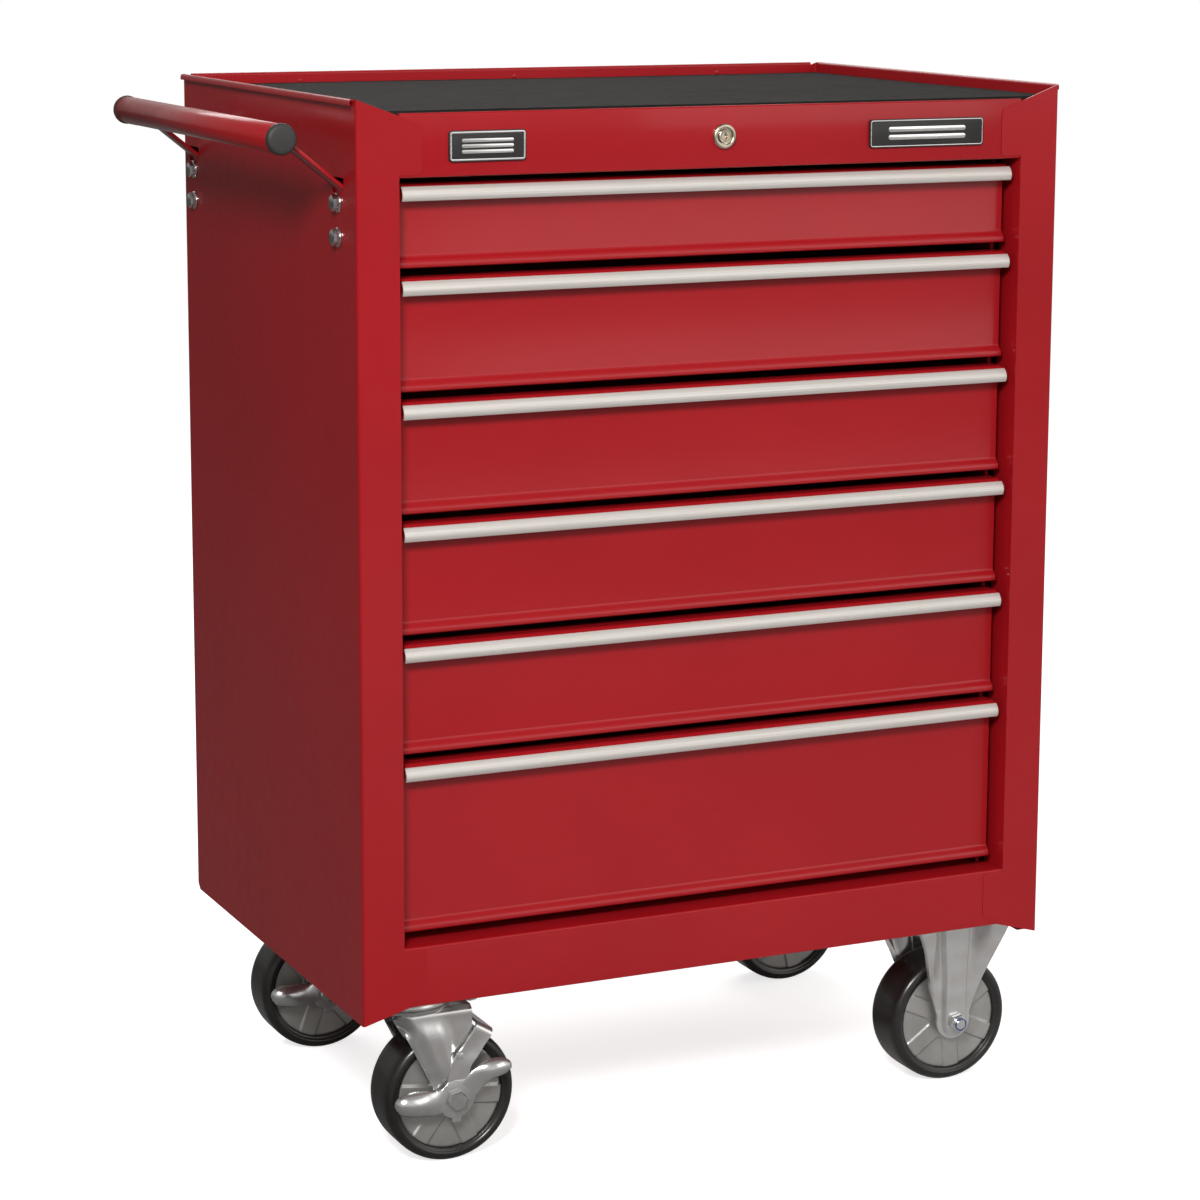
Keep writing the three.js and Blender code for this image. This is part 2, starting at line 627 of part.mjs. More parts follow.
function wheelHub() {
  const face = WHEEL.hubWidth / 2;
  const boss = WHEEL.bossWidth / 2;
  const profile = [[WHEEL.bore, -boss], [WHEEL.boss, -boss], [WHEEL.boss + 1, -face], [WHEEL.hubRadius, -face + 1],
    [WHEEL.hubRadius, face - 1], [WHEEL.boss + 1, face], [WHEEL.boss, boss], [WHEEL.bore, boss]];
  const depth = 1.6;
  const lobes = [0, 60, 120, 180, 240, 300].flatMap((angle) => [
    prismY(hubLobe(angle), -face - 1, -face + depth),
    prismY(hubLobe(angle), face - depth, face + 1),
  ]);
  return cut(turnedY(profile, 24), ...lobes);
}

function wheelTyre() {
  const side = WHEEL.tread / 2;
  const shoulder = 5;
  const inner = WHEEL.hubRadius + GAP;
  const outer = WHEEL.radius;
  const profile = [
    [inner, -side],
    ...arc(outer - shoulder, -side + shoulder, shoulder, -90, 0, 2),
    ...arc(outer - shoulder, side - shoulder, shoulder, 0, 90, 2),
    [inner, side],
  ];
  return turnedY(profile, 36);
}

function wheelBearing() {
  const half = WHEEL.bossWidth / 2 + 0.5;
  const outer = WHEEL.bore - GAP;
  return turnedY([[AXLE.hole, -half], [outer, -half], [outer, half], [AXLE.hole, half]], 14);
}

function addWheel(group, name) {
  add(`${name}_wheel_hub`, wheelHub(), castMetal(), group);
  add(`${name}_wheel_tyre`, wheelTyre(), blackRubber(), group);
  add(`${name}_wheel_bearing`, wheelBearing(), steel(), group);
}

// one leg's outline in X and Z from the axle: straight flanks down to a round end
function legOutline(topLeft, topRight, topHeight) {
  const radius = FORK.endRadius;
  return [[topRight, topHeight], [topLeft, topHeight], ...arc(0, 0, radius, 165, 375, 6)];
}

// a plate with the heads of the four bolts that hold it under the pan
function mountingPlate() {
  const { length, width, thickness, top, boltInsetX, boltInsetY, boltHead } = MOUNT_PLATE;
  const plate = prismZ(roundedRect(-length / 2, length / 2, -width / 2, width / 2, 8), top - thickness, top);
  const bottom = top - thickness;
  const x = length / 2 - boltInsetX;
  const y = width / 2 - boltInsetY;
  const corners = [[x, y], [x, -y], [-x, y], [-x, -y]];
  return join(plate, ...corners.map(([a, b]) => rodZ(a, b, boltHead, bottom - 5, bottom + 1, 6)));
}

const plateTop = MOUNT_PLATE.top - AXLE_Z;
const plateBottom = plateTop - MOUNT_PLATE.thickness;
const toAxleFrame = (solid) => solid.translate([0, 0, -AXLE_Z]);

// the rigid castor's plate and fork are pressed from one sheet, with a raised rib down each leg
function rigidFork() {
  const { inner, plate } = FORK;
  const outer = inner + plate;
  const outline = legOutline(-46.5, 46.5, plateBottom + 1);
  const rib = [[-20, plateBottom - 6], [...arc(0, 0, 14, 180, 360, 4)], [20, plateBottom - 6]];
  const ribOutline = [rib[0], ...rib[1], rib[2]];
  const legs = [-outer, inner].map((y) => prismY(outline, y, y + plate));
  const ribs = [-outer - 2.5, outer - 0.5].map((y) => prismY(ribOutline, y, y + plate));
  const hole = rodY(0, 0, AXLE.hole, -outer - 5, outer + 5, 12);
  return cut(join(toAxleFrame(mountingPlate()), ...legs, ...ribs), hole);
}

function rigidAxle() {
  const seat = FORK.inner + FORK.plate + 2.5 + GAP;
  const shank = rodY(0, 0, AXLE.radius, -seat - 9, seat + 1, 12);
  const nut = hexY(0, 0, AXLE.nutFlats, -seat - 7, -seat);
  const head = hexY(0, 0, AXLE.headFlats, seat, seat + 6);
  return join(shank, nut, head);
}

// the fixed half of a swivel castor: plate, upper ball race and the riveted kingpin
function swivelPlate() {
  const race = FORK.crownTop - AXLE_Z + GAP;
  const kingpin = [[0, 66], [10, 66], [10, race - 12], [7, race - 11.6], [7, race], [36, race], [38, race + 4],
    [34, plateBottom + 1], [0, plateBottom + 1]];
  const points = kingpin.map(([radius, z]) => new THREE.Vector2(radius, z));
  const turned = toSolid(new THREE.LatheGeometry(points, 20).rotateX(Math.PI / 2));
  return join(toAxleFrame(mountingPlate()), turned);
}

// drawn from the wheel's axle, with the kingpin a trail's length behind it
function swivelFork() {
  const { inner, plate, trail } = FORK;
  const outer = inner + plate;
  const crownTop = FORK.crownTop - AXLE_Z;
  const crown = rodZ(-trail, 0, 38, crownTop - 6, crownTop, 28);
  const bridge = box(-51, 18, -outer, outer, crownTop - 9, crownTop - 5);
  const outline = [[18, crownTop - 5], [-51, crownTop - 5], [-51, 72], [-38, 48], ...arc(0, 0, 16, 160, 360, 6),
    [16, 22], [17.6, 56]];
  const legs = [-outer, inner].map((y) => prismY(outline, y, y + plate));
  const kingpinHole = rodZ(-trail, 0, 7.6, crownTop - 12, crownTop + 1, 12);
  const axleHole = rodY(0, 0, AXLE.hole, -outer - 1, outer + 1, 12);
  return cut(join(crown, bridge, ...legs), kingpinHole, axleHole);
}

const leverPlane = -(FORK.inner + FORK.plate) - 3.4;

// the brake strap stands on the fork's front leg and reaches over the tyre
function brakeStrap() {
  const back = -(FORK.inner + FORK.plate) - GAP;
  const front = back - 2.4;
  const side = [...arc(0, 0, 13, 200, 350, 6), [17, 20], [24.5, 27], [38.5, 57], [23.5, 66], [9.4, 42],
    [6.9, 36], [-2, 36], [-7, 17]];
  const shoe = [[38.5, 57], [36.9, 54.6], [22.2, 63.4], [23.5, 66], [26, 66]];
  const hole = rodY(0, 0, AXLE.hole, front - 1, back + 1, 12);
  return cut(join(prismY(side, front, back), prismY(shoe, front, 22)), hole);
}

// a dished foot pedal that stands out from the rocker's plate
function pedal(outline, front) {
  return prismY(outline, front, leverPlane);
}

// the rocker turns on the axle bolt: one pedal sets the brake and the other frees it
function brakeLever() {
  const front = leverPlane - 2.4;
  const wing = [...arc(0, 0, 17, 195, 340, 8), [22, -3], [34, 16], [22, 28], [14.5, 19], [3, 20], [-8, 16], [-15, 9]];
  const leftArm = [[-12, 9.6], [-26, 10], [-26, -7], [-12, -8]];
  const leftPedal = [[-26, 10], [-52, 8], [-57, 4], [-57, 0], [-53, -4], [-45, -6.3], [-26, -7], [-26, -4.6],
    [-45, -3.8], [-51, -1.6], [-54, 1], [-54, 3], [-51, 5.6], [-26, 7.6]];
  const rightPedal = [[20, 26], [30, 18], [43, 15.5], [54, 20], [55, 23], [41, 34.5], [40, 32], [51.5, 22],
    [43, 18.2], [31, 20.5], [22, 28]];
  const plate = join(prismY(wing, front, leverPlane), prismY(leftArm, front, leverPlane));
  const pans = join(
    prismY([[-24, 10], [-52, 8], [-57, 4], [-57, 0], [-53, -4], [-45, -6.3], [-24, -7]], front, leverPlane),
    pedal(leftPedal, front - 8),
    prismY([[20, 26], [30, 18], [43, 15.5], [54, 20], [55, 23], [41, 34.5], [30, 30]], front, leverPlane),
    pedal(rightPedal, front - 8),
  );
  const hole = rodY(0, 0, AXLE.hole, front - 1, leverPlane + 1, 12);
  return cut(join(plate, pans), hole);
}

function swivelAxle() {
  const front = leverPlane - 2.4 - GAP;
  const rear = FORK.inner + FORK.plate + GAP;
  const shank = rodY(0, 0, AXLE.radius, front - 1, rear + 9, 12);
  const head = hexY(0, 0, AXLE.headFlats, front - 6, front);
  const nut = hexY(0, 0, AXLE.nutFlats, rear, rear + 7);
  return join(shank, head, nut);
}

function castorGroup(x, y) {
  const group = new THREE.Group();
  group.position.set(x, y, AXLE_Z);
  cabinet.add(group);
  return group;
}

for (const [row, y] of ROWS) {
  const rigid = castorGroup(RIGID_X, y);
  add(`right_${row}_castor_fork`, rigidFork(), zinc(), rigid);
  add(`right_${row}_castor_axle`, rigidAxle(), zinc(), rigid);
  addWheel(rigid, `right_${row}`);

  add(`left_${row}_castor_plate`, swivelPlate(), zinc(), castorGroup(SWIVEL_X, y));
  const swivel = castorGroup(SWIVEL_X + FORK.trail, y);
  add(`left_${row}_castor_fork`, swivelFork(), zinc(), swivel);
  add(`left_${row}_castor_axle`, swivelAxle(), zinc(), swivel);
  add(`left_${row}_brake_strap`, brakeStrap(), zinc(), swivel);
  add(`left_${row}_brake_lever`, brakeLever(), zinc(), swivel);
  addWheel(swivel, `left_${row}`);
}

cabinet.position.set(-(EXTENT.left + EXTENT.right) / 2, -(EXTENT.front + EXTENT.rear) / 2, 0);

const part = new THREE.Group();
part.add(cabinet);
export default part;
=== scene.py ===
import math

import bmesh
import bpy
from mathutils import Matrix, Vector


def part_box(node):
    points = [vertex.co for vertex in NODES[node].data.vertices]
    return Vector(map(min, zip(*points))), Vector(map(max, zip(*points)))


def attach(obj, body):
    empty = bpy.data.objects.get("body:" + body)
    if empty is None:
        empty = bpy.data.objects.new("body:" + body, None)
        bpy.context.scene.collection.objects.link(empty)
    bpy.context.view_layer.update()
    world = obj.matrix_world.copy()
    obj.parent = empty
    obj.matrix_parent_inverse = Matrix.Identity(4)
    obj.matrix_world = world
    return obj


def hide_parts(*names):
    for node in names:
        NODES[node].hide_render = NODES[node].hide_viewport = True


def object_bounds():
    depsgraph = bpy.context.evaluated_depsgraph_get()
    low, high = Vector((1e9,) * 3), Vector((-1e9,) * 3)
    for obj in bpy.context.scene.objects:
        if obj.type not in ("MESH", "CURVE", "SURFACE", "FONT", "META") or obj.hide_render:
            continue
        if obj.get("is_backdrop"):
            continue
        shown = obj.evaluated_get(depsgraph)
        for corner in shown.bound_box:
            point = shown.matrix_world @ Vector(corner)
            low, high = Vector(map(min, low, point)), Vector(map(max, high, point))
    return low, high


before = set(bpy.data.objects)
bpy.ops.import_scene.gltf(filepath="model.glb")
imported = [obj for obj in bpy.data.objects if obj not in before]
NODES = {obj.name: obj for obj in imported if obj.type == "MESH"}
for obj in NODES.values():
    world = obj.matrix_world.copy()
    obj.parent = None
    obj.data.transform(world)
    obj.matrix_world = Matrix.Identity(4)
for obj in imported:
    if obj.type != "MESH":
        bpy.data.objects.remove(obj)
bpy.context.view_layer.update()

# ---------------- where things are
# Shapes are drawn in millimetres in the cabinet's own frame: X from the left side panel's outer face, Y from
# the front plane, Z from the floor. ORIGIN is that frame's zero in the row frame, in metres.
MM = 0.001
HEM_OUT = 4.0  # how far the hem stands out past the side panel's face
panel_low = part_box("left_side_panel")[0]
ORIGIN = Vector((panel_low.x + HEM_OUT * MM, panel_low.y, 0.0))
WIDTH = 690.0
DEPTH = 468.0
AXLE_Z = 62.5
SHEET = 1.2  # thickness of the case's steel
GAP = 0.3  # clearance between parts


def local(point):
    """A row-frame point in the cabinet's millimetres."""
    return (Vector(point) - ORIGIN) / MM


def local_box(node):
    low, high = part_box(node)
    return local(low), local(high)


# ---------------- outlines and paths
def arc(cx, cy, radius, start, end, steps):
    angles = [math.radians(start + (end - start) * i / steps) for i in range(steps + 1)]
    return [(cx + radius * math.cos(a), cy + radius * math.sin(a)) for a in angles]


def spline(points, per=5):
    """A Catmull-Rom curve through the points."""
    pts = [Vector(p) for p in points]
    pts = [2 * pts[0] - pts[1], *pts, 2 * pts[-1] - pts[-2]]
    out = []
    for a, b, c, d in zip(pts, pts[1:], pts[2:], pts[3:]):
        for k in range(per):
            t = k / per
            out.append(0.5 * (2 * b + (c - a) * t + (2 * a - 5 * b + 4 * c - d) * t * t
                              + (3 * b - a - 3 * c + d) * t ** 3))
    return [tuple(p) for p in out] + [tuple(pts[-2])]


def strip(path, thickness):
    """The closed outline of a folded sheet: the path is one face, the other is a thickness to its right."""
    pts = [Vector(p) for p in path]

    def right_of(i):
        along = (pts[i + 1] - pts[i]).normalized()
        return Vector((along.y, -along.x))

    far = []
    for i, point in enumerate(pts):
        before = right_of(max(i - 1, 0))
        after = right_of(min(i, len(pts) - 2))
        mitre = (before + after).normalized()
        far.append(point + mitre * (thickness / max(mitre.dot(after), 0.3)))
    return [tuple(p) for p in pts] + [tuple(p) for p in reversed(far)]


def rounded_rect(left, right, bottom, top, radius, steps=4):
    return [*arc(right - radius, bottom + radius, radius, -90, 0, steps),
            *arc(right - radius, top - radius, radius, 0, 90, steps),
            *arc(left + radius, top - radius, radius, 90, 180, steps),
            *arc(left + radius, bottom + radius, radius, 180, 270, steps)]


def smoothstep(low, high, value):
    t = min(max((value - low) / (high - low), 0.0), 1.0)
    return t * t * (3 - 2 * t)


# ---------------- solids
AXES = {"x": lambda a, b, along: (along, a, b), "y": lambda a, b, along: (a, along, b),
        "z": lambda a, b, along: (a, b, along)}


def soften(bm, width, segments=2, limit=38.0):
    """Rounds the edges that turn by more than the limit."""
    bmesh.ops.recalc_face_normals(bm, faces=bm.faces)
    sharp = [e for e in bm.edges if len(e.link_faces) == 2 and e.calc_face_angle(0.0) > math.radians(limit)]
    bmesh.ops.bevel(bm, geom=sharp, offset=width, segments=segments, profile=0.5, affect="EDGES",
                    clamp_overlap=True)
    return bm


def prism(outline, axis, start, end, bevel=0.0, segments=2):
    """An outline in the two other axes, run along an axis."""
    bm = bmesh.new()
    place = AXES[axis]
    near = [bm.verts.new(place(a, b, start)) for a, b in outline]
    far = [bm.verts.new(place(a, b, end)) for a, b in outline]
    bm.faces.new(near)
    bm.faces.new(far)
    for i in range(len(outline)):
        j = (i + 1) % len(outline)
        bm.faces.new((near[i], near[j], far[j], far[i]))
    if bevel:
        soften(bm, bevel, segments)
    return bm


def block(x0, x1, y0, y1, z0, z1, bevel=0.3):
    return prism([(x0, y0), (x1, y0), (x1, y1), (x0, y1)], "z", z0, z1, bevel)


def bridge(bm, one, two):
    """The faces between two rings of points, either of which may be a single point."""
    steps = max(len(one), len(two))
    if steps == 1:
        return
    for k in range(steps):
        n = (k + 1) % steps
        corners = [one[k % len(one)], one[n % len(one)], two[n % len(two)], two[k % len(two)]]
        bm.faces.new(list(dict.fromkeys(corners)))


def bridge_all(bm, rings):
    """The faces along a chain of rings and from its last ring back to its first."""
    for one, two in zip(rings, rings[1:] + rings[:1]):
        bridge(bm, one, two)
    return bm


def lathe(profile, axis="y", steps=48, centre=(0.0, 0.0, 0.0), turn=0.0):
    """A closed profile of (radius, distance) pairs turned about an axis. A zero radius is a point on it."""
    bm = bmesh.new()
    rings = []
    for radius, along in profile:
        ring = []
        for k in range(1 if radius < 1e-6 else steps):
            angle = math.tau * k / steps + math.radians(turn)
            a, b = radius * math.cos(angle), radius * math.sin(angle)
            ring.append(bm.verts.new(Vector(AXES[axis](a, b, along)) + Vector(centre)))
        rings.append(ring)
    return bridge_all(bm, rings)


def pressed(grid, thickness):
    """A pressed sheet. The grid of points is its outer face, and the inner face lies a thickness behind it."""
    bm = bmesh.new()
    rows, cols = len(grid), len(grid[0])

    def normal(i, j):
        down = grid[min(i + 1, rows - 1)][j] - grid[max(i - 1, 0)][j]
        across = grid[i][min(j + 1, cols - 1)] - grid[i][max(j - 1, 0)]
        return down.cross(across).normalized()

    outer = [[bm.verts.new(p) for p in row] for row in grid]
    inner = [[bm.verts.new(grid[i][j] - normal(i, j) * thickness) for j in range(cols)] for i in range(rows)]
    for i in range(rows - 1):
        for j in range(cols - 1):
            for side in (outer, inner):
                bm.faces.new((side[i][j], side[i + 1][j], side[i + 1][j + 1], side[i][j + 1]))
    for i in range(rows - 1):
        for j in (0, cols - 1):
            bm.faces.new((outer[i][j], outer[i + 1][j], inner[i + 1][j], inner[i][j]))
    for j in range(cols - 1):
        for i in (0, rows - 1):
            bm.faces.new((outer[i][j], outer[i][j + 1], inner[i][j + 1], inner[i][j]))
    return bm


def merged(*parts):
    """Several solids as one mesh."""
    whole = bmesh.new()
    for part in parts:
        mesh = bpy.data.meshes.new("part")
        part.to_mesh(mesh)
        part.free()
        whole.from_mesh(mesh)
        bpy.data.meshes.remove(mesh)
    return whole


def mirrored(bm):
    """The same solid on the other side of the cabinet."""
    bmesh.ops.transform(bm, matrix=Matrix.Translation((WIDTH, 0, 0)) @ Matrix.Diagonal((-1, 1, 1, 1)),
                        verts=bm.verts)
    bmesh.ops.reverse_faces(bm, faces=bm.faces)
    return bm


def piece(name, bm, body, material, at=(0.0, 0.0, 0.0), smooth=34.0, replaces=()):
    """Turns a solid in millimetres into an object of the scene that rides on a body."""
    bmesh.ops.recalc_face_normals(bm, faces=bm.faces)
    for face in bm.faces:
        face.smooth = True
    for edge in bm.edges:
        if len(edge.link_faces) == 2 and edge.calc_face_angle(0.0) > math.radians(smooth):
            edge.smooth = False
    place = Matrix.Translation(ORIGIN + Vector(at) * MM) @ Matrix.Scale(MM, 4)
    bmesh.ops.transform(bm, matrix=place, verts=bm.verts)
    mesh = bpy.data.meshes.new(name)
    bm.to_mesh(mesh)
    bm.free()
    mesh.materials.append(material)
    obj = bpy.data.objects.new(name, mesh)
    bpy.context.scene.collection.objects.link(obj)
    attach(obj, body)
    if replaces:
        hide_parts(*replaces)
    return obj


# ---------------- materials
def new_node(tree, kind, **values):
    """A shader node with some of its inputs set."""
    node = tree.nodes.new("ShaderNode" + kind)
    for socket, value in values.items():
        node.inputs[socket.replace("_", " ")].default_value = value
    return node


class Finish:
    """A material made from a Principled shader and object-space noise."""

    def __init__(self, name, **values):
        self.material = bpy.data.materials.new(name)
        self.material.use_nodes = True
        self.tree = self.material.node_tree
        self.shader = self.tree.nodes["Principled BSDF"]
        self.coords = new_node(self.tree, "TexCoord").outputs["Object"]
        for socket, value in values.items():
            self.shader.inputs[socket.replace("_", " ")].default_value = value

    def link(self, source, target):
        self.tree.links.new(source, target)

    def noise(self, scale, detail=2.0, stretch=(1.0, 1.0, 1.0), roughness=0.5):
        mapping = new_node(self.tree, "Mapping", Scale=stretch)
        self.link(self.coords, mapping.inputs["Vector"])
        node = new_node(self.tree, "TexNoise", Scale=scale, Detail=detail, Roughness=roughness)
        self.link(mapping.outputs["Vector"], node.inputs["Vector"])
        return node.outputs["Fac"]

    def ramp(self, value, low, high, at=(0.3, 0.7)):
        """Colour between two colours, or level between two numbers, by a value."""
        if isinstance(low, (int, float)):
            node = new_node(self.tree, "MapRange", From_Min=at[0], From_Max=at[1], To_Min=low, To_Max=high)
            self.link(value, node.inputs["Value"])
            return node.outputs["Result"]
        node = new_node(self.tree, "ValToRGB")
        node.color_ramp.elements[0].position, node.color_ramp.elements[1].position = at
        node.color_ramp.elements[0].color, node.color_ramp.elements[1].color = (*low, 1), (*high, 1)
        self.link(value, node.inputs["Fac"])
        return node.outputs["Color"]

    def colour(self, value, low, high, at=(0.3, 0.7)):
        self.link(self.ramp(value, low, high, at), self.shader.inputs["Base Color"])

    def rough(self, value, low, high, at=(0.3, 0.7)):
        self.link(self.ramp(value, low, high, at), self.shader.inputs["Roughness"])

    def bump(self, value, strength, distance, previous=None):
        node = new_node(self.tree, "Bump", Strength=strength, Distance=distance)
        self.link(value, node.inputs["Height"])
        if previous is not None:
            self.link(previous, node.inputs["Normal"])
        self.link(node.outputs["Normal"], self.shader.inputs["Normal"])
        return node.outputs["Normal"]


def powder_coat(name, low, high, rough, wavy=0.10, peel=0.08):
    """Glossy powder coat: slow changes of tone, orange peel and a very slight waviness of the sheet."""
    f = Finish(name, Coat_Weight=0.42, Coat_Roughness=0.12, Coat_IOR=1.5, IOR=1.45, Specular_IOR_Level=0.2)
    f.colour(f.noise(5.0, 3.0), low, high)
    f.rough(f.noise(60.0, 3.0), rough, rough + 0.08)
    wave = f.bump(f.noise(3.2, 1.0), wavy, 0.004)
    f.bump(f.noise(900.0, 2.0), peel, 0.0001, wave)
    return f.material


def brushed(name, low, high, rough, stretch, scale=420.0, metallic=1.0, depth=0.00008):
    """Bare metal with fine lines along one axis."""
    f = Finish(name, Metallic=metallic)
    lines = f.noise(scale, 4.0, stretch, 0.6)
    f.colour(lines, low, high)
    f.rough(f.noise(scale * 0.6, 3.0, stretch), rough, rough + 0.14)
    f.bump(lines, 0.35, depth)
    return f.material


def plated(name, low, high, rough, scale=45.0, metallic=1.0, dents=0.05, grain=0.05):
    """Plated or cast metal: clouded tone and roughness, and a faint grain."""
    f = Finish(name, Metallic=metallic)
    f.colour(f.noise(scale, 4.0), low, high)
    f.rough(f.noise(scale * 2.3, 4.0), rough, rough + 0.12)
    wave = f.bump(f.noise(scale * 1.4, 2.0), dents, 0.0006)
    f.bump(f.noise(1400.0, 2.0), grain, 0.00005, wave)
    return f.material


def moulded(name, low, high, rough, grain=900.0, depth=0.0001, coat=0.0, specular=0.5):
    f = Finish(name, Coat_Weight=coat, Coat_Roughness=0.15, Specular_IOR_Level=specular)
    f.colour(f.noise(30.0, 3.0), low, high)
    f.rough(f.noise(120.0, 3.0), rough, rough + 0.1)
    f.bump(f.noise(grain, 3.0), 0.25, depth)
    return f.material


RED = powder_coat("red_powder_coat", (0.350, 0.0062, 0.0105), (0.385, 0.0076, 0.0122), 0.33)
RED_HANDLE = powder_coat("red_handle_coat", (0.380, 0.0090, 0.0130), (0.420, 0.0110, 0.0145), 0.30, 0.0, 0.02)
ALUMINIUM = brushed("brushed_aluminium", (0.66, 0.62, 0.575), (0.78, 0.745, 0.70), 0.46, (0.004, 1.0, 1.0),
                    900.0, 0.5)
ZINC = plated("bright_zinc", (0.64, 0.63, 0.61), (0.78, 0.78, 0.77), 0.15, 45.0, 0.88)
SLIDE_ZINC = plated("slide_zinc", (0.50, 0.49, 0.47), (0.62, 0.61, 0.60), 0.30)
HUB = plated("hub_casting", (0.40, 0.39, 0.37), (0.50, 0.49, 0.47), 0.33, 30.0, 0.72, 0.10, 0.15)
BEARING = plated("bearing_steel", (0.42, 0.41, 0.40), (0.55, 0.54, 0.53), 0.25)
CHROME = plated("bolt_plating", (0.66, 0.66, 0.65), (0.80, 0.80, 0.79), 0.16, 90.0)
NICKEL = brushed("satin_nickel", (0.60, 0.53, 0.41), (0.76, 0.69, 0.56), 0.24, (1.0, 0.2, 1.0), 300.0)
TYRE = moulded("tyre_rubber", (0.010, 0.0088, 0.0078), (0.018, 0.016, 0.014), 0.26, 700.0, 0.00008, 0.25)
MAT = moulded("mat_rubber", (0.013, 0.0118, 0.0108), (0.019, 0.0172, 0.0158), 0.78, 1500.0, 0.0001,
              specular=0.12)
BADGE_BLACK = moulded("badge_black", (0.014, 0.013, 0.013), (0.022, 0.020, 0.019), 0.45, 1500.0, 0.00003,
                      0.1)
BADGE_SILVER = brushed("badge_silver", (0.80, 0.79, 0.77), (0.92, 0.91, 0.89), 0.22, (0.05, 1.0, 1.0), 500.0)
CAP = moulded("cap_plastic", (0.030, 0.0275, 0.026), (0.040, 0.037, 0.035), 0.50, 1200.0, 0.00012)
NYLON = moulded("lock_ring_nylon", (0.010, 0.05, 0.22), (0.014, 0.07, 0.28), 0.35)

# ---------------- sheet-metal nodes that stay
KEPT_PAINTED = ["left_side_panel", "right_side_panel", "back_panel", "bottom_pan", "worktop_pan"]


def keep(node, material, bevel):
    """A node that stays: its flat triangles are dissolved, its edges rounded, and it gets a finish."""
    obj = NODES[node]
    obj.data.materials.clear()
    obj.data.materials.append(material)
    for polygon in obj.data.polygons:
        polygon.use_smooth = True
    weld = obj.modifiers.new("weld", "WELD")
    weld.merge_threshold = 0.00001
    flat = obj.modifiers.new("flat", "DECIMATE")
    flat.decimate_type = "DISSOLVE"
    flat.angle_limit = math.radians(0.5)
    edge = obj.modifiers.new("edge", "BEVEL")
    edge.width = bevel * MM
    edge.segments = 2
    edge.limit_method = "ANGLE"
    edge.angle_limit = math.radians(38)
    shade = obj.modifiers.new("shade", "WEIGHTED_NORMAL")
    shade.weight = 100


for node in KEPT_PAINTED:
    keep(node, RED, 0.4)
keep("locking_bar", SLIDE_ZINC, 0.3)

# ---------------- header and bottom rail
LAP = 0.6  # how far the header and the rail lie behind the front plane
HEADER_SHELF = 14.0
RAIL_SHELF = 33.8
STEP_INSET = 52.0
header_low, header_high = local_box("front_header")
rail_low, rail_high = local_box("front_bottom_rail")


def header_sheet():
    """The header runs behind the side panels' tabs: shelf, rounded foot, face, and a flange beside the mat."""
    low, high = header_low.z, header_high.z
    path = [(HEADER_SHELF, low), *arc(1.5 + LAP, low + 1.5, 1.5, 270, 180, 4),
            *arc(2.5 + LAP, high - 2.5, 2.5, 180, 90, 6), (4.4, high)]
    return prism(strip(path, SHEET), "x", header_low.x, header_high.x, 0.2)


def rail_sheet():
    """The bottom rail: a face, a rounded top edge and a deep shelf under the lowest drawer."""
    low, high = rail_low.z, rail_high.z
    path = [(RAIL_SHELF, high), *arc(1.6 + LAP, high - 1.6, 1.6, 90, 180, 5), (LAP, low + 0.6), (LAP + 0.5, low)]
    shelf = block(STEP_INSET, WIDTH - STEP_INSET, RAIL_SHELF - 0.4, rail_high.y, high - SHEET, high, 0.2)
    return merged(prism(strip(path, -SHEET), "x", rail_low.x, rail_high.x), shelf)


piece("front_header_folded", header_sheet(), "cabinet", RED, replaces=["front_header"])
piece("front_bottom_rail_folded", rail_sheet(), "cabinet", RED, replaces=["front_bottom_rail"])


# ---------------- mat
def ribbed_mat():
    """Rubber sheet with fine ribs that run from side to side, lying a little unevenly."""
    low, high = local_box("worktop_mat")
    pitch, rib = 3.2, 0.5
    count = int((high.y - low.y) / pitch)
    step = (high.y - low.y) / count
    section = []
    for i in range(count):
        y = low.y + i * step
        section += [(y, 0.0), (y + step * 0.45, 0.0), (y + step * 0.55, rib), (y + step * 0.9, rib)]
    section.append((high.y, 0.0))
    xs = [low.x + (high.x - low.x) * i / 12 for i in range(13)]

    def top(x, y, rise):
        sag = 0.35 * math.sin(x / 97.0) * math.sin(y / 71.0 + 0.6) - 0.35
        return high.z - rib + rise + sag

    grid = [[Vector((x, y, top(x, y, rise))) for x in xs] for y, rise in section]
    return pressed(grid, high.z - low.z - rib - 0.7)


piece("worktop_mat_ribbed", ribbed_mat(), "cabinet", MAT, smooth=40, replaces=["worktop_mat"])

# ---------------- drawers
TRIM_LEFT = 44.4
FRONT_LEFT = 45.4
BOX_LEFT = 60.0
FACE_Y = 21.0
INNER_Y = 34.0
BOX_BACK = 424.0
TRIM_NOSE = (6.2, 7.6, 0.0762)  # its foremost Y, the distance below its top where that is, and its curvature
SKIN = 1.0
FLOOR_UP = 8.0  # a drawer's floor above its lip
TOP_UP = 2.7  # a front's top above its trim's top
SLIDE_UP = 26.0  # a slide's middle above the drawer's floor
SLIDE_FRONT = 36.0


def nose_y(below, depth=0.0):
    """The Y of the pull's front at a distance below the trim's top, or of a skin that deep behind it."""
    front, middle, curve = TRIM_NOSE
    slope = 2 * curve * (below - middle)
    return front + curve * (below - middle) ** 2 + depth * math.hypot(1, slope)


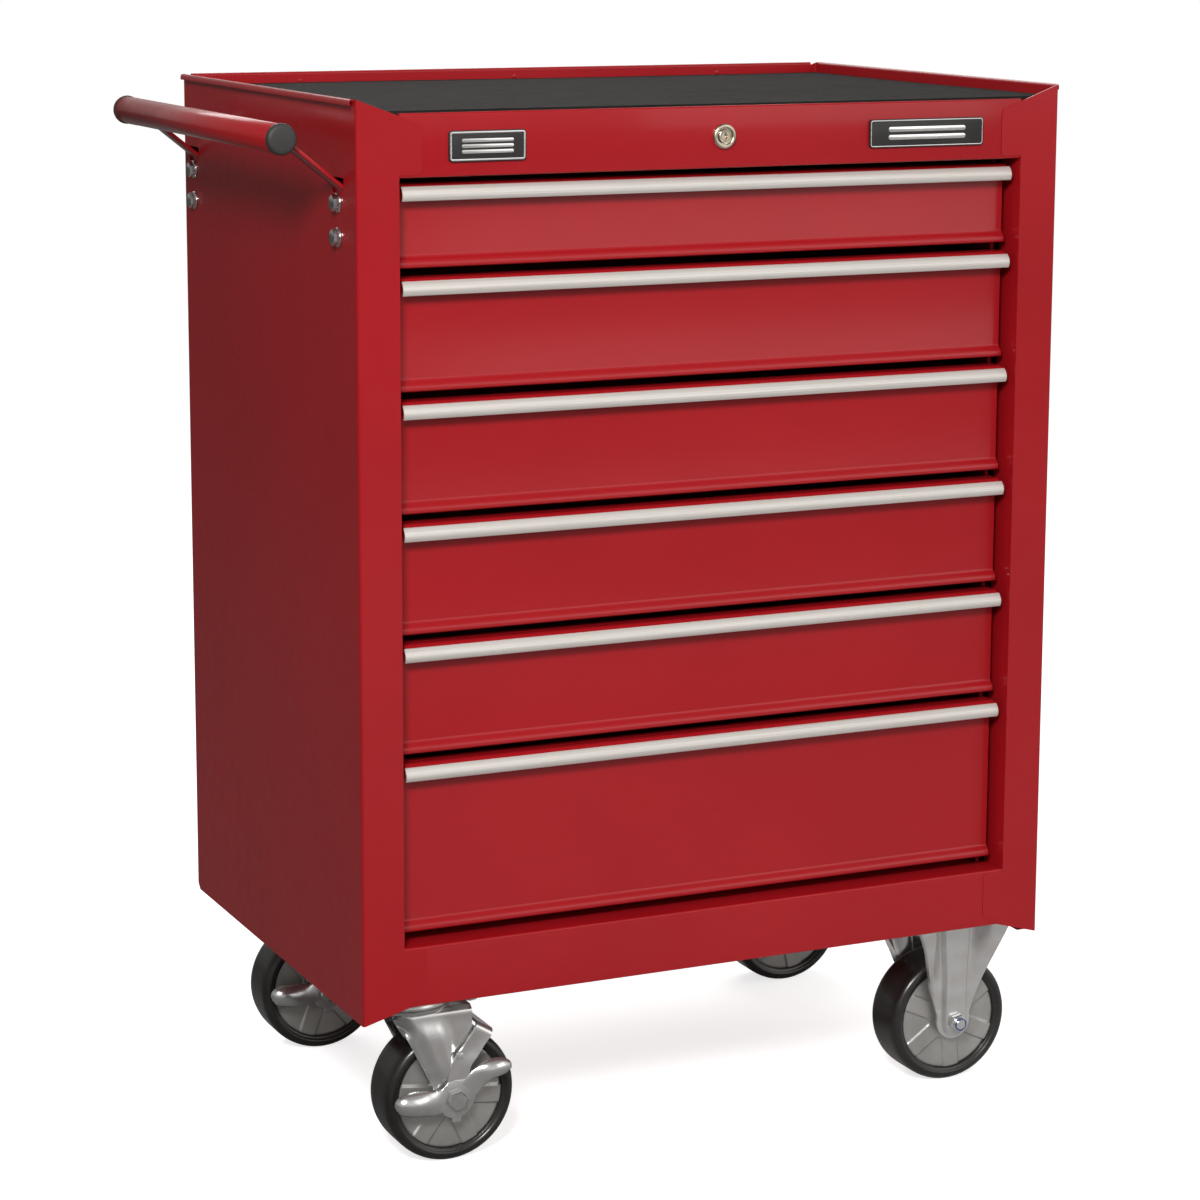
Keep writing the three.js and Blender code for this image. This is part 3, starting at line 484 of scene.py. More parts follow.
def pull_outline(top, floor):
    """Inner skin, flat top, and the roll that comes down in front and hooks back under."""
    roll = [(nose_y(b, 1.5), top - b) for b in (-0.7, 0, 1.2, 2.6, 4.2, 6, 7.6, 9, 10.4, 11.6)]
    corner = [(17.2, top + 2.2), (15.9, top + 2.0), (14.7, top + 1.4)]
    hook = [(10.2, top - 12.5), (11.6, top - 12.75), (13, top - 12.4), (14, top - 11.8)]
    path = [(INNER_Y, floor), (INNER_Y, top + 1.5), (INNER_Y - 0.7, top + 2.2), *corner, *roll, *hook]
    return strip(path[::-1], SKIN)


def face_outline(lip, top):
    """The face, swept forward at its foot and rolled under."""
    foot = [(0.6, 1.6), (1.9, 0.35), (3.4, 0.0), (4.5, 0.55), (4.95, 2.0), (4.75, 3.9), (4.0, 5.7), (2.7, 7.3),
            (1.3, 8.7), (0.35, 10.2), (0.0, 11.6)]
    curve = spline([(FACE_Y - out, lip + up) for out, up in foot], 3)
    return strip([*curve, (FACE_Y, top + 2.2)], SKIN)


def trim_outline(top):
    """The aluminium skin: shallow grooves along it, and a bead along its upper and lower edge."""
    path = []
    for i in range(37):
        below = 12.35 - 12.35 * i / 36
        groove = 0.10 * max(0.0, math.cos(below * math.tau / 2.05)) ** 6
        path.append((nose_y(below) + groove, top - below))
    return strip(path, 1.15)


def rolled_rim(outer, inward, top):
    """The rim of a drawer wall, from its turned-down inner lip over to its outer face."""
    return [(outer + inward * along, top - down)
            for along, down in ((5.0, 5.5), (4.6, 1.2), (3.4, 0.0), (1.2, 0.0), (0.0, 1.4))]


def drawer_tray(floor, wall_top):
    """Open box with rolled rims."""
    left, right = BOX_LEFT, WIDTH - BOX_LEFT
    front = INNER_Y - SKIN
    corner = 2.2
    side = strip([*rolled_rim(left, 1, wall_top), (left, floor + corner), (left + 0.7, floor + 0.7),
                  (left + corner, floor)], SKIN)
    back = strip([*rolled_rim(BOX_BACK, -1, wall_top), (BOX_BACK, floor + 0.1)][::-1], SKIN)
    return merged(prism(side, "y", front, BOX_BACK - 0.4),
                  mirrored(prism(side, "y", front, BOX_BACK - 0.4)),
                  prism(back, "x", left + SKIN, right - SKIN),
                  block(left + corner - 0.2, right - corner + 0.2, front, BOX_BACK - 0.2, floor, floor + SKIN, 0))


def slide_outline(web, reach, centre, half, lip):
    """A slide member seen on end: a web with ball races rolled along its two edges."""
    sign = 1 if reach > 0 else -1
    outer = web + reach
    top, low = centre + half, centre - half
    path = [(outer, top - lip), (outer, top - 1.2), (outer - sign * 1.2, top), (web + sign * 2.4, top),
            (web, top - 2.4), (web, top - 10), (web + sign * 1.2, top - 11.5), (web + sign * 1.2, low + 11.5),
            (web, low + 10), (web, low + 2.4), (web + sign * 2.4, low), (outer - sign * 1.2, low),
            (outer, low + 1.2), (outer, low + lip)]
    return strip(path[::-1], SHEET)


def front_skins(top, lip, floor):
    """The face and the pull above it as one folded front, with a cheek that closes each end."""
    right = WIDTH - FRONT_LEFT
    cheeks = [block(x, x + SKIN, FACE_Y + 0.9, INNER_Y - 0.9, lip + 12, top + 1.6, 0)
              for x in (FRONT_LEFT, right - SKIN)]
    return merged(prism(pull_outline(top, floor), "x", FRONT_LEFT, right),
                  prism(face_outline(lip, top), "x", FRONT_LEFT, right), *cheeks)


def inner_slides(centre):
    """The members riveted to a drawer's sides."""
    channel = prism(slide_outline(BOX_LEFT - 0.1, -8.6, centre, 17.0, 4.0), "y", SLIDE_FRONT, BOX_BACK)
    heads = [lathe([(0, 1.0), (1.6, 0.9), (2.6, 0.3), (2.8, 0), (0, 0)], "x", 14, (BOX_LEFT, y, centre))
             for y in (80, 230, 380)]
    left = merged(channel, *heads)
    right = mirrored(left.copy())
    return merged(left, right)


def lock_lug(top):
    """The bent strap on a drawer's back that the locking bar's hook catches."""
    shelf = top + TOP_UP - 12.0
    return prism(strip([(BOX_BACK - 0.5, shelf), (BOX_BACK + 10.8, shelf), (BOX_BACK + 12, shelf - 1.2),
                        (BOX_BACK + 12, shelf - 11.2)], SHEET), "x", 337, 357, 0.25)


DRAWERS = []
for number in range(1, 7):
    lip = local_box(f"drawer_{number}_box")[0].z
    trim_top = local_box(f"drawer_{number}_trim")[1].z
    DRAWERS.append((f"drawer_{number}", trim_top, lip, lip + FLOOR_UP))

for body, top, lip, floor in DRAWERS:
    piece(f"{body}_front", front_skins(top, lip, floor), body, RED, smooth=32,
          replaces=[f"{body}_box"])
    piece(f"{body}_tray", drawer_tray(floor, top + TOP_UP - 8.0), body, RED)
    piece(f"{body}_pull_trim", prism(trim_outline(top), "x", TRIM_LEFT, WIDTH - TRIM_LEFT), body,
          ALUMINIUM, smooth=40, replaces=[f"{body}_trim"])
    piece(f"{body}_inner_slides", inner_slides(floor + SLIDE_UP), body, SLIDE_ZINC)
    piece(f"{body}_lock_lug", lock_lug(top), body, SLIDE_ZINC)

# ---------------- uprights and outer slides
RACK_LOW, RACK_HIGH = local_box("left_slide_rack")


def upright_pair():
    """The two folded posts of one rack, the front one with a flange beside the drawer fronts."""
    low, high = RACK_LOW.z, RACK_HIGH.z
    front = strip([(49.0, 34.6), (46.6, 34.6), (46.2, 35.0), (46.2, 80.0), (45.6, 80.9), (2.6, 80.9), (1.5, 82.0),
                   (1.5, 100.0)][::-1], SHEET)
    rear = strip([(46.2, 414.0), (46.2, 371.2), (45.6, 370.2), (2.6, 370.2), (1.5, 369.0), (1.5, 350.0)], SHEET)
    return merged(prism(front, "z", low, high), prism(rear, "z", low, high))


def outer_slides():
    """The members screwed to one rack's posts, one for each drawer."""
    members = []
    for *_, floor in DRAWERS:
        centre = floor + SLIDE_UP
        members.append(prism(slide_outline(47.1, 9.8, centre, 22.4, 5.0), "y", SLIDE_FRONT, BOX_BACK + 2.0))
        members += [lathe([(0, -1.0), (1.8, -0.9), (3.0, -0.3), (3.2, 0), (0, 0)], "x", 14, (49.6, y, centre))
                    for y in (58, 392)]
    return merged(*members)


piece("left_uprights", upright_pair(), "cabinet", RED, replaces=["left_slide_rack"])
piece("right_uprights", mirrored(upright_pair()), "cabinet", RED, replaces=["right_slide_rack"])
piece("left_outer_slides", outer_slides(), "cabinet", SLIDE_ZINC)
piece("right_outer_slides", mirrored(outer_slides()), "cabinet", SLIDE_ZINC)

# ---------------- lock
lock_low, lock_high = local_box("lock_housing")
LOCK = ((lock_low.x + lock_high.x) / 2, 0.0, (lock_low.z + lock_high.z) / 2)
PLUG_R = 6.1
PLUG_STEPS = 96
CRANK = 9.0


def lock_housing():
    """Domed bezel on a threaded barrel, and the nut that holds it from behind."""
    ring = [(6.5, -1.4), (7.3, -1.5), (7.5, -2.9), (7.9, -3.4), (8.9, -3.6), (9.9, -3.4), (10.6, -2.9), (11.0, -2.1),
            (11.0, LAP), (9.2, LAP), (9.2, 24.0), (6.5, 24.0)]
    nut = lathe([(9.3, 3.0), (13.0, 3.0), (13.0, 6.2), (12.2, 7.0), (9.3, 7.0)], "y", 6)
    return merged(lathe(ring, "y", 64), nut)


def lock_plug():
    """The plug with a groove and a diamond keyway sunk into its face, and the rod, crank and pin behind it."""
    radii = [0.8, 1.4, 1.9, 2.3, 2.7, 3.1, 3.5, 3.9, 4.2, 4.5, 4.8, 5.1, 5.5, 5.8, PLUG_R]

    def depth(radius, angle):
        x, z = abs(radius * math.cos(angle)), abs(radius * math.sin(angle))
        inside = 1.0 - (x / 1.9 + z / 3.6)
        slot = smoothstep(-0.05, 0.12, inside)
        groove = 0.8 * smoothstep(4.0, 4.4, radius) * (1 - smoothstep(4.8, 5.2, radius))
        return -3.7 + 0.5 * smoothstep(5.6, PLUG_R, radius) + groove + 3.0 * slot

    def ring(bm, radius, along):
        angles = [math.tau * k / PLUG_STEPS for k in range(PLUG_STEPS)]
        return [bm.verts.new((radius * math.cos(a), along(radius, a), radius * math.sin(a))) for a in angles]

    plug = bmesh.new()
    rings = [[plug.verts.new((0, depth(0, 0), 0))], *[ring(plug, r, depth) for r in radii],
             ring(plug, PLUG_R, lambda radius, angle: 26.0)]
    for one, two in zip(rings, rings[1:]):
        bridge(plug, one, two)
    plug.faces.new(rings[-1])
    rod = lathe([(0, 25), (3.9, 25), (3.9, 430), (0, 430)], "y", 24)
    arm = prism([*arc(0, 0, 5.5, 90, 270, 8), *arc(CRANK, 0, 4.2, -90, 90, 8)], "y", 428.8, 433, 0.3)
    pin = lathe([(0, 432), (2.5, 432), (2.5, 444.4), (2.1, 445), (0, 445)], "y", 20, (CRANK, 0.0, 0.0))
    return merged(plug, rod, arm, pin)


piece("lock_bezel", lock_housing(), "cabinet", NICKEL, at=LOCK, smooth=50,
      replaces=["lock_housing"])
piece("lock_keyed_plug", lock_plug(), "lock_plug", NICKEL, at=LOCK, smooth=42,
      replaces=["lock_plug"])


# ---------------- badges
def frame_ring(low, high, inset, width, radius, y0, y1):
    """A raised rounded border."""
    outer, inner = [rounded_rect(low.x + i, high.x - i, low.z + i, high.z - i, r, 6)
                    for i, r in ((inset, radius), (inset + width, max(radius - width, 0.5)))]
    bm = bmesh.new()
    loops = [[bm.verts.new((x, y, z)) for x, z in loop] for loop, y in
             ((outer, y1), (outer, y0), (inner, y0), (inner, y1))]
    return soften(bridge_all(bm, loops), 0.18, 2, 60)


RELIEF = (-2.15, -1.6)


def badge(name, border, heights, half, thick, steps):
    """A black plate with a raised border and plain raised bars: each at a share of the plate's height."""
    low, high = local_box(name)
    plate = prism(rounded_rect(low.x, high.x, low.z, high.z, 3.0, 6), "y", -1.7, LAP, 0.35)
    piece(f"{name}_plate", plate, "cabinet", BADGE_BLACK, replaces=[name])
    middle, height = (low.x + high.x) / 2, high.z - low.z
    bars = [prism(rounded_rect(middle - half, middle + half, low.z + height * at - thick,
                               low.z + height * at + thick, thick - 0.1, steps), "y", *RELIEF, 0.15)
            for at in heights]
    border_ring = frame_ring(low, high, 0.9, border, 2.4, *RELIEF)
    piece(f"{name}_relief", merged(border_ring, *bars), "cabinet", BADGE_SILVER)


badge("badge_left", 1.5, (0.68, 0.5, 0.32), 24.0, 1.5, 4)
badge("badge_right", 0.8, (0.64, 0.36), 40.0, 2.2, 6)

# ---------------- push handle
tube_low, tube_high = local_box("handle_tube")
HANDLE = ((tube_low.x + tube_high.x) / 2, 0.0, (tube_low.z + tube_high.z) / 2)
TUBE_R = (tube_high.x - tube_low.x) / 2
tube = lathe([(TUBE_R - 1.5, tube_low.y), (TUBE_R - 0.4, tube_low.y), (TUBE_R, tube_low.y + 0.5),
              (TUBE_R, tube_high.y - 0.5), (TUBE_R - 0.4, tube_high.y), (TUBE_R - 1.5, tube_high.y)], "y", 72)
piece("handle_tube_coated", tube, "cabinet", RED_HANDLE, at=HANDLE, smooth=50,
      replaces=["handle_tube"])


def handle_cap(end, outward):
    """A push-in cap: flat face with a soft rim, and a spigot inside the tube."""
    profile = [(0, -12), (TUBE_R - 2.2, -12), (TUBE_R - 1.8, -10), (TUBE_R - 1.8, GAP), (TUBE_R + 0.75, GAP),
               (TUBE_R + 0.8, 2.2), (TUBE_R + 0.45, 3.9), (TUBE_R - 0.5, 5.1), (TUBE_R - 2.2, 5.75),
               (TUBE_R - 4.0, 6.0), (0, 6.0)]
    return lathe([(radius, end + outward * along) for radius, along in profile], "y", 64)


for name, end, outward in (("front", tube_low.y, -1), ("rear", tube_high.y, 1)):
    piece(f"handle_cap_{name}_moulded", handle_cap(end, outward), "cabinet", CAP, at=HANDLE,
          smooth=50, replaces=[f"handle_cap_{name}"])
BOLT_HEIGHTS = (874.5, 845.0)


def handle_bracket(station):
    """A bent flat bar from its leg inside the side panel out to a saddle welded under the tube."""
    leg = [(1.5, 836.0), (1.5, 882.0), (1.1, 884.6), (0.0, 887.0)]
    x, _, z = HANDLE
    reach = TUBE_R + GAP
    saddle = [(x + reach * math.cos(math.radians(a)), z + reach * math.sin(math.radians(a)))
              for a in (-28, -45, -62, -80, -100)]
    return prism(strip([*leg, (x + 13.8, z - 8.6), *saddle], 3.0), "y", station - 12.5, station + 12.5, 0.4)


def handle_bolts(station):
    """Two flanged hex screws in one nut strip."""
    head = [(0, -6.5), (6.0, -6.5), (6.9, -6.2), (7.5, -5.4), (7.5, -1.9), (0, -1.9)]
    flange = [(0, -2.4), (7.0, -2.4), (8.3, -1.5), (8.5, -1.0), (8.5, -GAP), (0, -GAP)]
    shank = [(0, -1.0), (3.9, -1.0), (3.9, 14.0), (3.2, 15.0), (0, 15.0)]
    screws = [lathe(profile, "x", steps, (0.0, station, z), turn) for z in BOLT_HEIGHTS
              for profile, steps, turn in ((head, 6, 30), (flange, 40, 0), (shank, 24, 0))]
    return merged(block(4.8, 9.8, station - 10, station + 10, 837, 883, 0.4), *screws)


for name in ("front", "rear"):
    low, high = local_box(f"handle_bracket_{name}")
    station = (low.y + high.y) / 2
    piece(f"handle_bracket_{name}_bent", handle_bracket(station), "cabinet", RED_HANDLE,
          replaces=[f"handle_bracket_{name}"])
    piece(f"handle_bolts_{name}_hex", handle_bolts(station), "cabinet", CHROME,
          replaces=[f"handle_bolts_{name}"])


# ---------------- castors
NUT = 6.0
POCKETS = 6
POCKET_DEPTH = 1.7
SPOKE_HALF = 8.0
POCKET_CORNER = 5.0
HUB_STEPS = 288


def pocket_depth(radius, angle):
    """How deep the hub's face is sunk: rounded wedges that open to the rim, with parallel-sided spokes between."""
    half = math.pi / POCKETS
    sector = (angle + half) % (2 * half) - half
    x, z = radius * math.cos(sector), abs(radius * math.sin(sector))
    inset = SPOKE_HALF + POCKET_CORNER
    tip = inset / math.sin(half)
    past_side = inset - x * math.sin(half) + z * math.cos(half)
    before_tip = (x - tip) * math.cos(half) + z * math.sin(half) < 0
    distance = math.hypot(x - tip, z) if past_side > 0 and before_tip else past_side
    return POCKET_DEPTH * smoothstep(0.0, 1.0, POCKET_CORNER - distance)


def wheel_hub(turn):
    """Casting with six rounded pockets in each face."""
    half, boss = 21.0, 26.0
    start = math.radians(turn)
    radii = [12.2, 13.4, 15, 17, *[18 + i for i in range(16)], 35.5, 38, 40.5, 43, 45.5, 47.5, 48.8, 49.6, 50.0]

    def ring(radius, along):
        angles = [math.tau * k / HUB_STEPS for k in range(HUB_STEPS)]
        return [bm.verts.new((radius * math.cos(a), along(a), radius * math.sin(a))) for a in angles]

    bm = bmesh.new()
    chain = []
    for side in (-1, 1):
        rings = [ring(radius, lambda a, y=side * y: y) for radius, y in ((8.2, boss), (11.6, boss), (12.0, boss - 0.5))]
        for radius in radii:
            edge = half - 0.6 * smoothstep(49.2, 50.0, radius)
            rings.append(ring(radius, lambda a, r=radius, e=edge, s=side: s * (e - pocket_depth(r, a - s * start))))
        chain += rings if side < 0 else rings[::-1]
    return bridge_all(bm, chain)


def wheel_tyre():
    """Solid tyre with rounded shoulders and a step where it meets the hub."""
    half = [(50.3, 20.4), (50.5, 21.6), (51.3, 22.2), (52.6, 22.3), (53.3, 22.9), (54.2, 23.7), (55.6, 24.0),
            (57.3, 23.7), (59.2, 22.7), (60.8, 21.1), (61.9, 18.9), (62.35, 16.0), (62.5, 11.0), (62.5, 4.0)]
    near = [(r, -y) for r, y in half]
    return lathe([*near, *half[::-1]], "y", 128)


def wheel_bearing():
    """A sleeve through the hub, a little longer than it."""
    return lathe([(5.4, -26.5), (7.6, -26.5), (7.9, -26.1), (7.9, 26.1), (7.6, 26.5), (5.4, 26.5)], "y", 40)


def hex_nut(flats, start, outward, ring=False):
    """A chamfered hex, with a nylon insert's collar where it is a lock nut."""
    r = flats / math.sqrt(3)
    profile = [(0, 0), (r - 0.9, 0), (r, 0.7), (r, NUT - 1.2), (r - 1.3, NUT), (0, NUT)]
    parts = [lathe([(radius, start + outward * d) for radius, d in profile], "y", 6, turn=12)]
    if ring:
        collar = [(5.4, NUT - 0.3), (6.9, NUT - 0.3), (7.0, NUT + 1.6), (6.3, NUT + 2.4), (5.4, NUT + 2.4)]
        parts.append(lathe([(radius, start + outward * d) for radius, d in collar], "y", 36))
    return merged(*parts)


def insert_ring(start, outward):
    """The nylon ring in a lock nut's collar."""
    return lathe([(radius, start + outward * d) for radius, d in
                  ((5.05, 1.2), (6.15, 1.2), (6.15, 2.7), (5.05, 2.7))], "y", 36)


def stud(y0, y1):
    """The axle bolt's shank, chamfered at both ends."""
    return lathe([(0, y0), (4.4, y0), (5.0, y0 + 0.6), (5.0, y1 - 0.6), (4.4, y1), (0, y1)], "y", 28)


BOLT_OFFSETS = [(45.5, 39.5), (45.5, -39.5), (-45.5, 39.5), (-45.5, -39.5)]
PLATE_TOP = 103.8
PLATE_LOW = 99.8
OUTER = 30.0
RIB = 5.6


def plate_bolts():
    """The four hex heads under a mounting plate."""
    z = PLATE_LOW
    return [lathe([(0, z - 5.0), (6.2, z - 5.0), (7.2, z - 4.4), (7.2, z), (0, z)], "z", 6, (x, y, 0), 15)
            for x, y in BOLT_OFFSETS]


def mount_plate():
    return prism(rounded_rect(-57.5, 57.5, -50, 50, 8, 6), "z", PLATE_LOW, PLATE_TOP, 0.7)


def edge_at(points, z):
    """The X of an edge given as points from top to bottom, at a height."""
    for (x0, z0), (x1, z1) in zip(points, points[1:]):
        if z1 <= z <= z0:
            return x0 + (x1 - x0) * (z - z0) / (z1 - z0)
    return points[0][0] if z > points[0][1] else points[-1][0]


def leg_rows(left, right, radius, heights):
    """For each height, the leg's left and right edge, closing in a round end about the axle."""
    rows = []
    for z in heights:
        reach = math.sqrt(max(radius ** 2 - z * z, 0.6 if z < 0 else 0.0))
        rows.append((-reach, reach) if z < 0 else (min(edge_at(left, z), -reach), max(edge_at(right, z), reach)))
    return rows


RIGID_LEFT = [(-50.0, 100.0), (-46.5, 92.0), (-40.0, 76.0), (-17.6, 6.0), (-17.8, 0.0)]


def rib_columns(left, right, rib):
    """Where a leg's columns lie across it: closest together where the rib's sides are."""
    def spread(a, b, count):
        return [a + (b - a) * i / count for i in range(count)]
    side = min(4.6, rib * 0.6)
    return [*spread(left, -rib, 12), *spread(-rib, -rib + side, 8), *spread(-rib + side, rib - side, 8),
            *spread(rib - side, rib, 8), *spread(rib, right, 12), right]


def rigid_leg(side):
    """One leg of the fixed castor: a raised rib down the middle, and flanks that sweep out to the plate's edge."""
    heights = [-17.9, -17.0, -15.5, -13, -10, -6, -2, 2, 6, 12, 20, 28, 36, 44, 52, 58, 64, 70, 75, 80, 84, 88, 92,
               95, 97.6, 99.6]
    rows = leg_rows(RIGID_LEFT, [(-x, z) for x, z in RIGID_LEFT], 18.0, heights)
    grid = []
    for z, (left, right) in zip(heights, rows):
        row = []
        rib = min(14.5 + 2.5 * smoothstep(40, 95, z), right * 0.82)
        for x in rib_columns(left, right, rib):
            raised = RIB * (1 - smoothstep(rib - 4.4, rib, abs(x))) * smoothstep(-17, -6, z)
            flank = smoothstep(rib, rib + 16, abs(x)) * smoothstep(22, 100, z)
            edge = 1.6 * (1 - smoothstep(0.0, 3.5, min(x - left, right - x))) * smoothstep(14, 34, z)
            row.append(Vector((x, side * (OUTER + max(raised, 18.5 * flank + edge)), z)))
        grid.append(row)
    if side > 0:
        grid = [row[::-1] for row in grid]
    return pressed(grid, -3.0)


def rigid_fork():
    web = block(-44, 44, -29, 29, 95.5, 98.5, 1.0)
    return merged(mount_plate(), web, rigid_leg(-1), rigid_leg(1), *plate_bolts())


SWIVEL_LEFT = [(-58.0, 90.0), (-55.0, 78.0), (-50.0, 70.0), (-45.6, 63.0), (-38.0, 48.0), (-30.0, 32.0),
               (-21.0, 14.0), (-16.0, 0.0)]
SWIVEL_RIGHT = [(18.0, 90.0), (18.0, 57.0), (14.0, 44.0), (13.0, 20.0), (16.0, 0.0)]
SWIVEL_COLUMNS = 49
CROWN_TOP = 88.2
KINGPIN_X = -34.0


def swivel_profile():
    """The bent sheet on edge, from the front leg's foot over the crown to the rear leg's foot: (y, z) pairs."""
    top, bend = CROWN_TOP - 3.0, 7.0
    up = [-15.9, -15, -13, -10, -6, -2, *range(2, 76, 3), 77.0]
    corner = arc(-OUTER + bend, top - bend, bend, 180, 90, 6)
    across = [(-16, top), (-8, top), (0, top)]
    front = [(-OUTER, z) for z in up] + corner + across
    return front + [(-y, z) for y, z in reversed(front[:-1])]


def swivel_fork():
    """One pressed sheet: a rounded column down each leg, a flat beside it, and the crown over the wheel."""
    grid = []
    for y, z in swivel_profile():
        (left, right), = leg_rows(SWIVEL_LEFT, SWIVEL_RIGHT, 16.0, [min(z, 78.0)])
        on_top = smoothstep(26, 20, abs(y)) if abs(y) < 26 else 0.0
        left = left + (-58.0 - left) * on_top
        row = []
        for k in range(SWIVEL_COLUMNS):
            x = left + (right - left) * k / (SWIVEL_COLUMNS - 1)
            middle = left * 0.52 + right * 0.48 - 6.0 * smoothstep(20, 70, z)
            half = 3.0 + (middle - left) * 0.75
            column = 4.2 * (1 - smoothstep(half * 0.25, half, abs(x - middle))) * smoothstep(6, 30, z)
            column *= 1 - smoothstep(58, 80, z)
            deep = 2.0 + 11.0 * smoothstep(60, 72, z)
            roll = deep * (1 - smoothstep(0.0, 4.0 + 12.0 * smoothstep(50, 72, z), x - left)) ** 1.5
            roll *= smoothstep(10, 30, z) * (1 - smoothstep(76, 86, z))
            side = -1 if y <= 0 else 1
            row.append(Vector((x, y + side * (column - roll), z)))
        grid.append(row)
    sheet = pressed(grid, -3.0)
    dish = [(7.6, 82.0), (28.0, 82.0), (33.0, 82.6), (36.6, 84.2), (38.2, 86.4), (38.4, 87.6), (37.9, 88.1),
            (36.9, 88.2), (30.0, 88.2), (7.6, 88.2)]
    return merged(sheet, lathe(dish, "z", 72, (KINGPIN_X, 0, 0)))


def swivel_head():
    """The fixed half of the swivel: plate, pressed upper race and the riveted kingpin."""
    race = [(0, PLATE_LOW + 0.5), (34.0, PLATE_LOW + 0.5), (35.5, PLATE_LOW - 0.8), (36.4, PLATE_LOW - 3.0),
            (37.4, 93.5), (38.3, 91.6), (38.6, 90.0), (38.3, 89.0), (37.4, 88.55), (36.0, 88.5), (7.0, 88.5),
            (7.0, 76.2), (10.0, 75.8), (10.0, 68.0), (8.6, 66.4), (6.0, 66.0), (0, 66.0)]
    return merged(mount_plate(), lathe(race, "z", 72), *plate_bolts())


STRAP = 2.4
LEVER_Y = -OUTER - 3.4
LEVER_FRONT = LEVER_Y - STRAP


def brake_strap():
    """Stands on the fork's front leg, leans out over the wheel and turns back across the tread. Each row is
    (x, z, half width, direction across)."""
    front = -OUTER - GAP - STRAP
    tread = 21.5
    level, leaning = (1, 0), (0.85, -0.52)
    rows = [(0.0, -12.0, 5.0, level), (0.0, -9.5, 8.0, level), (0.0, -5.0, 11.5, level), (0.0, 0.0, 12.5, level),
            (0.4, 6.0, 12.0, level), (1.4, 12.0, 11.0, level), (2.6, 18.0, 10.4, level), (3.8, 25.0, 9.8, level),
            (5.4, 31.0, 9.4, (0.98, -0.2)), (8.6, 36.5, 9.2, (0.92, -0.4)), (12.8, 41.0, 9.2, (0.86, -0.5)),
            (16.6, 46.0, 9.2, leaning), (20.2, 51.0, 9.0, leaning), (23.8, 55.6, 9.0, leaning),
            (26.6, 59.6, 9.0, leaning)]
    shares = [-1 + 2 * k / 12 for k in range(13)]

    def across(row, y, lift=0.0, narrow=1.0):
        """The points across the strap at one of its rows, moved up along the strap by a lift."""
        cx, cz, half, (dx, dz) = row
        length = math.hypot(dx, dz)
        return [Vector((cx + dx / length * half * u * narrow + along.x * lift, y(u),
                        cz + dz / length * half * u * narrow + along.z * lift)) for u in shares]

    along = Vector((0.51, 0, 0.86)).normalized()
    bend = 4.4
    grid = []
    for row in rows:
        dish = 1.3 * smoothstep(36, 44, row[1]) * (1 - smoothstep(54, 60, row[1]))
        grid.append(across(row, lambda u: front + dish * (1 - u * u)))
    for turn in (20, 45, 70, 90):
        a = math.radians(turn)
        grid.append(across(rows[-1], lambda u: front + bend * (1 - math.cos(a)), bend * math.sin(a)))
    for y in (-20, -10, 0, 10, tread - 2, tread):
        grid.append(across(rows[-1], lambda u: y, bend, 1.0 if y < tread else 0.9))
    nut = block(0.8, 7.2, front - 3.0, front, 36.8, 43.2, 0.6)
    emboss = frame_ring(Vector((1.0, 0, 20.6)), Vector((8.0, 0, 29.6)), 0.0, 1.5, 1.4, front - 1.3, front + 0.3)
    return merged(pressed(grid, STRAP), emboss, nut)


def pedal(stations, bulges, front):
    """A foot pedal pressed into a tongue. Each station is (x, z, half height), from the lever to the tip."""
    rows = []
    columns = 15
    line = spline([(x, z) for x, z, _ in stations], 5)
    halves = spline([(i, half) for i, (_, _, half) in enumerate(stations)], 5)
    depth = spline(list(enumerate(bulges)), 5)
    for i, (x, z) in enumerate(line):
        before, after = line[max(i - 1, 0)], line[min(i + 1, len(line) - 1)]
        along = Vector((after[0] - before[0], after[1] - before[1])).normalized()
        across = Vector((-along.y, along.x)) * max(halves[i][1], 0.4)
        row = []
        for k in range(columns):
            v = -math.cos(math.pi * k / (columns - 1))
            crown = depth[i][1] * (1 - v * v) ** 0.8
            row.append(Vector((x + across.x * v, front - crown, z + across.y * v)))
        rows.append(row)
    return pressed(rows if stations[-1][0] > 0 else rows[::-1], 2.2)


def brake_lever():
    """The rocker on the axle bolt, with a dished pedal at each end."""
    wing = spline([*arc(0, 0, 17.5, 212, 330, 7), (18.6, -1), (22, 6), (24, 12), (19, 20), (13, 19.4), (7, 18.4),
                   (0, 18.8), (-8, 16.8), (-14, 10.8), (-20, 9.0), (-21, -7.6)], 3)
    outline = prism(wing[:-1], "y", LEVER_FRONT, LEVER_Y, 0.7)
    left = pedal([(-12, 1, 9), (-22, 0, 9.5), (-34, 0.8, 10.4), (-46, 2, 9.4), (-54, 2, 6.6), (-57.6, 1, 1.0)],
                 [0.2, 2.4, 6.4, 6.8, 4.4, 0.6], LEVER_FRONT)
    right = pedal([(12, 8, 9), (20, 16, 9.5), (30, 22.5, 10), (41, 25, 9.4), (50, 24.5, 6.4), (54, 23, 1.0)],
                  [0.2, 2.0, 6.0, 6.6, 4.2, 0.6], LEVER_FRONT)
    tooth = block(-4, 5, LEVER_FRONT + 0.2, LEVER_Y, -21.5, -12, 0.5)
    return merged(outline, left, right, tooth)


HUB_TURNS = {"left_front": 23.0, "right_front": 5.0, "left_rear": 40.0, "right_rear": 12.0}


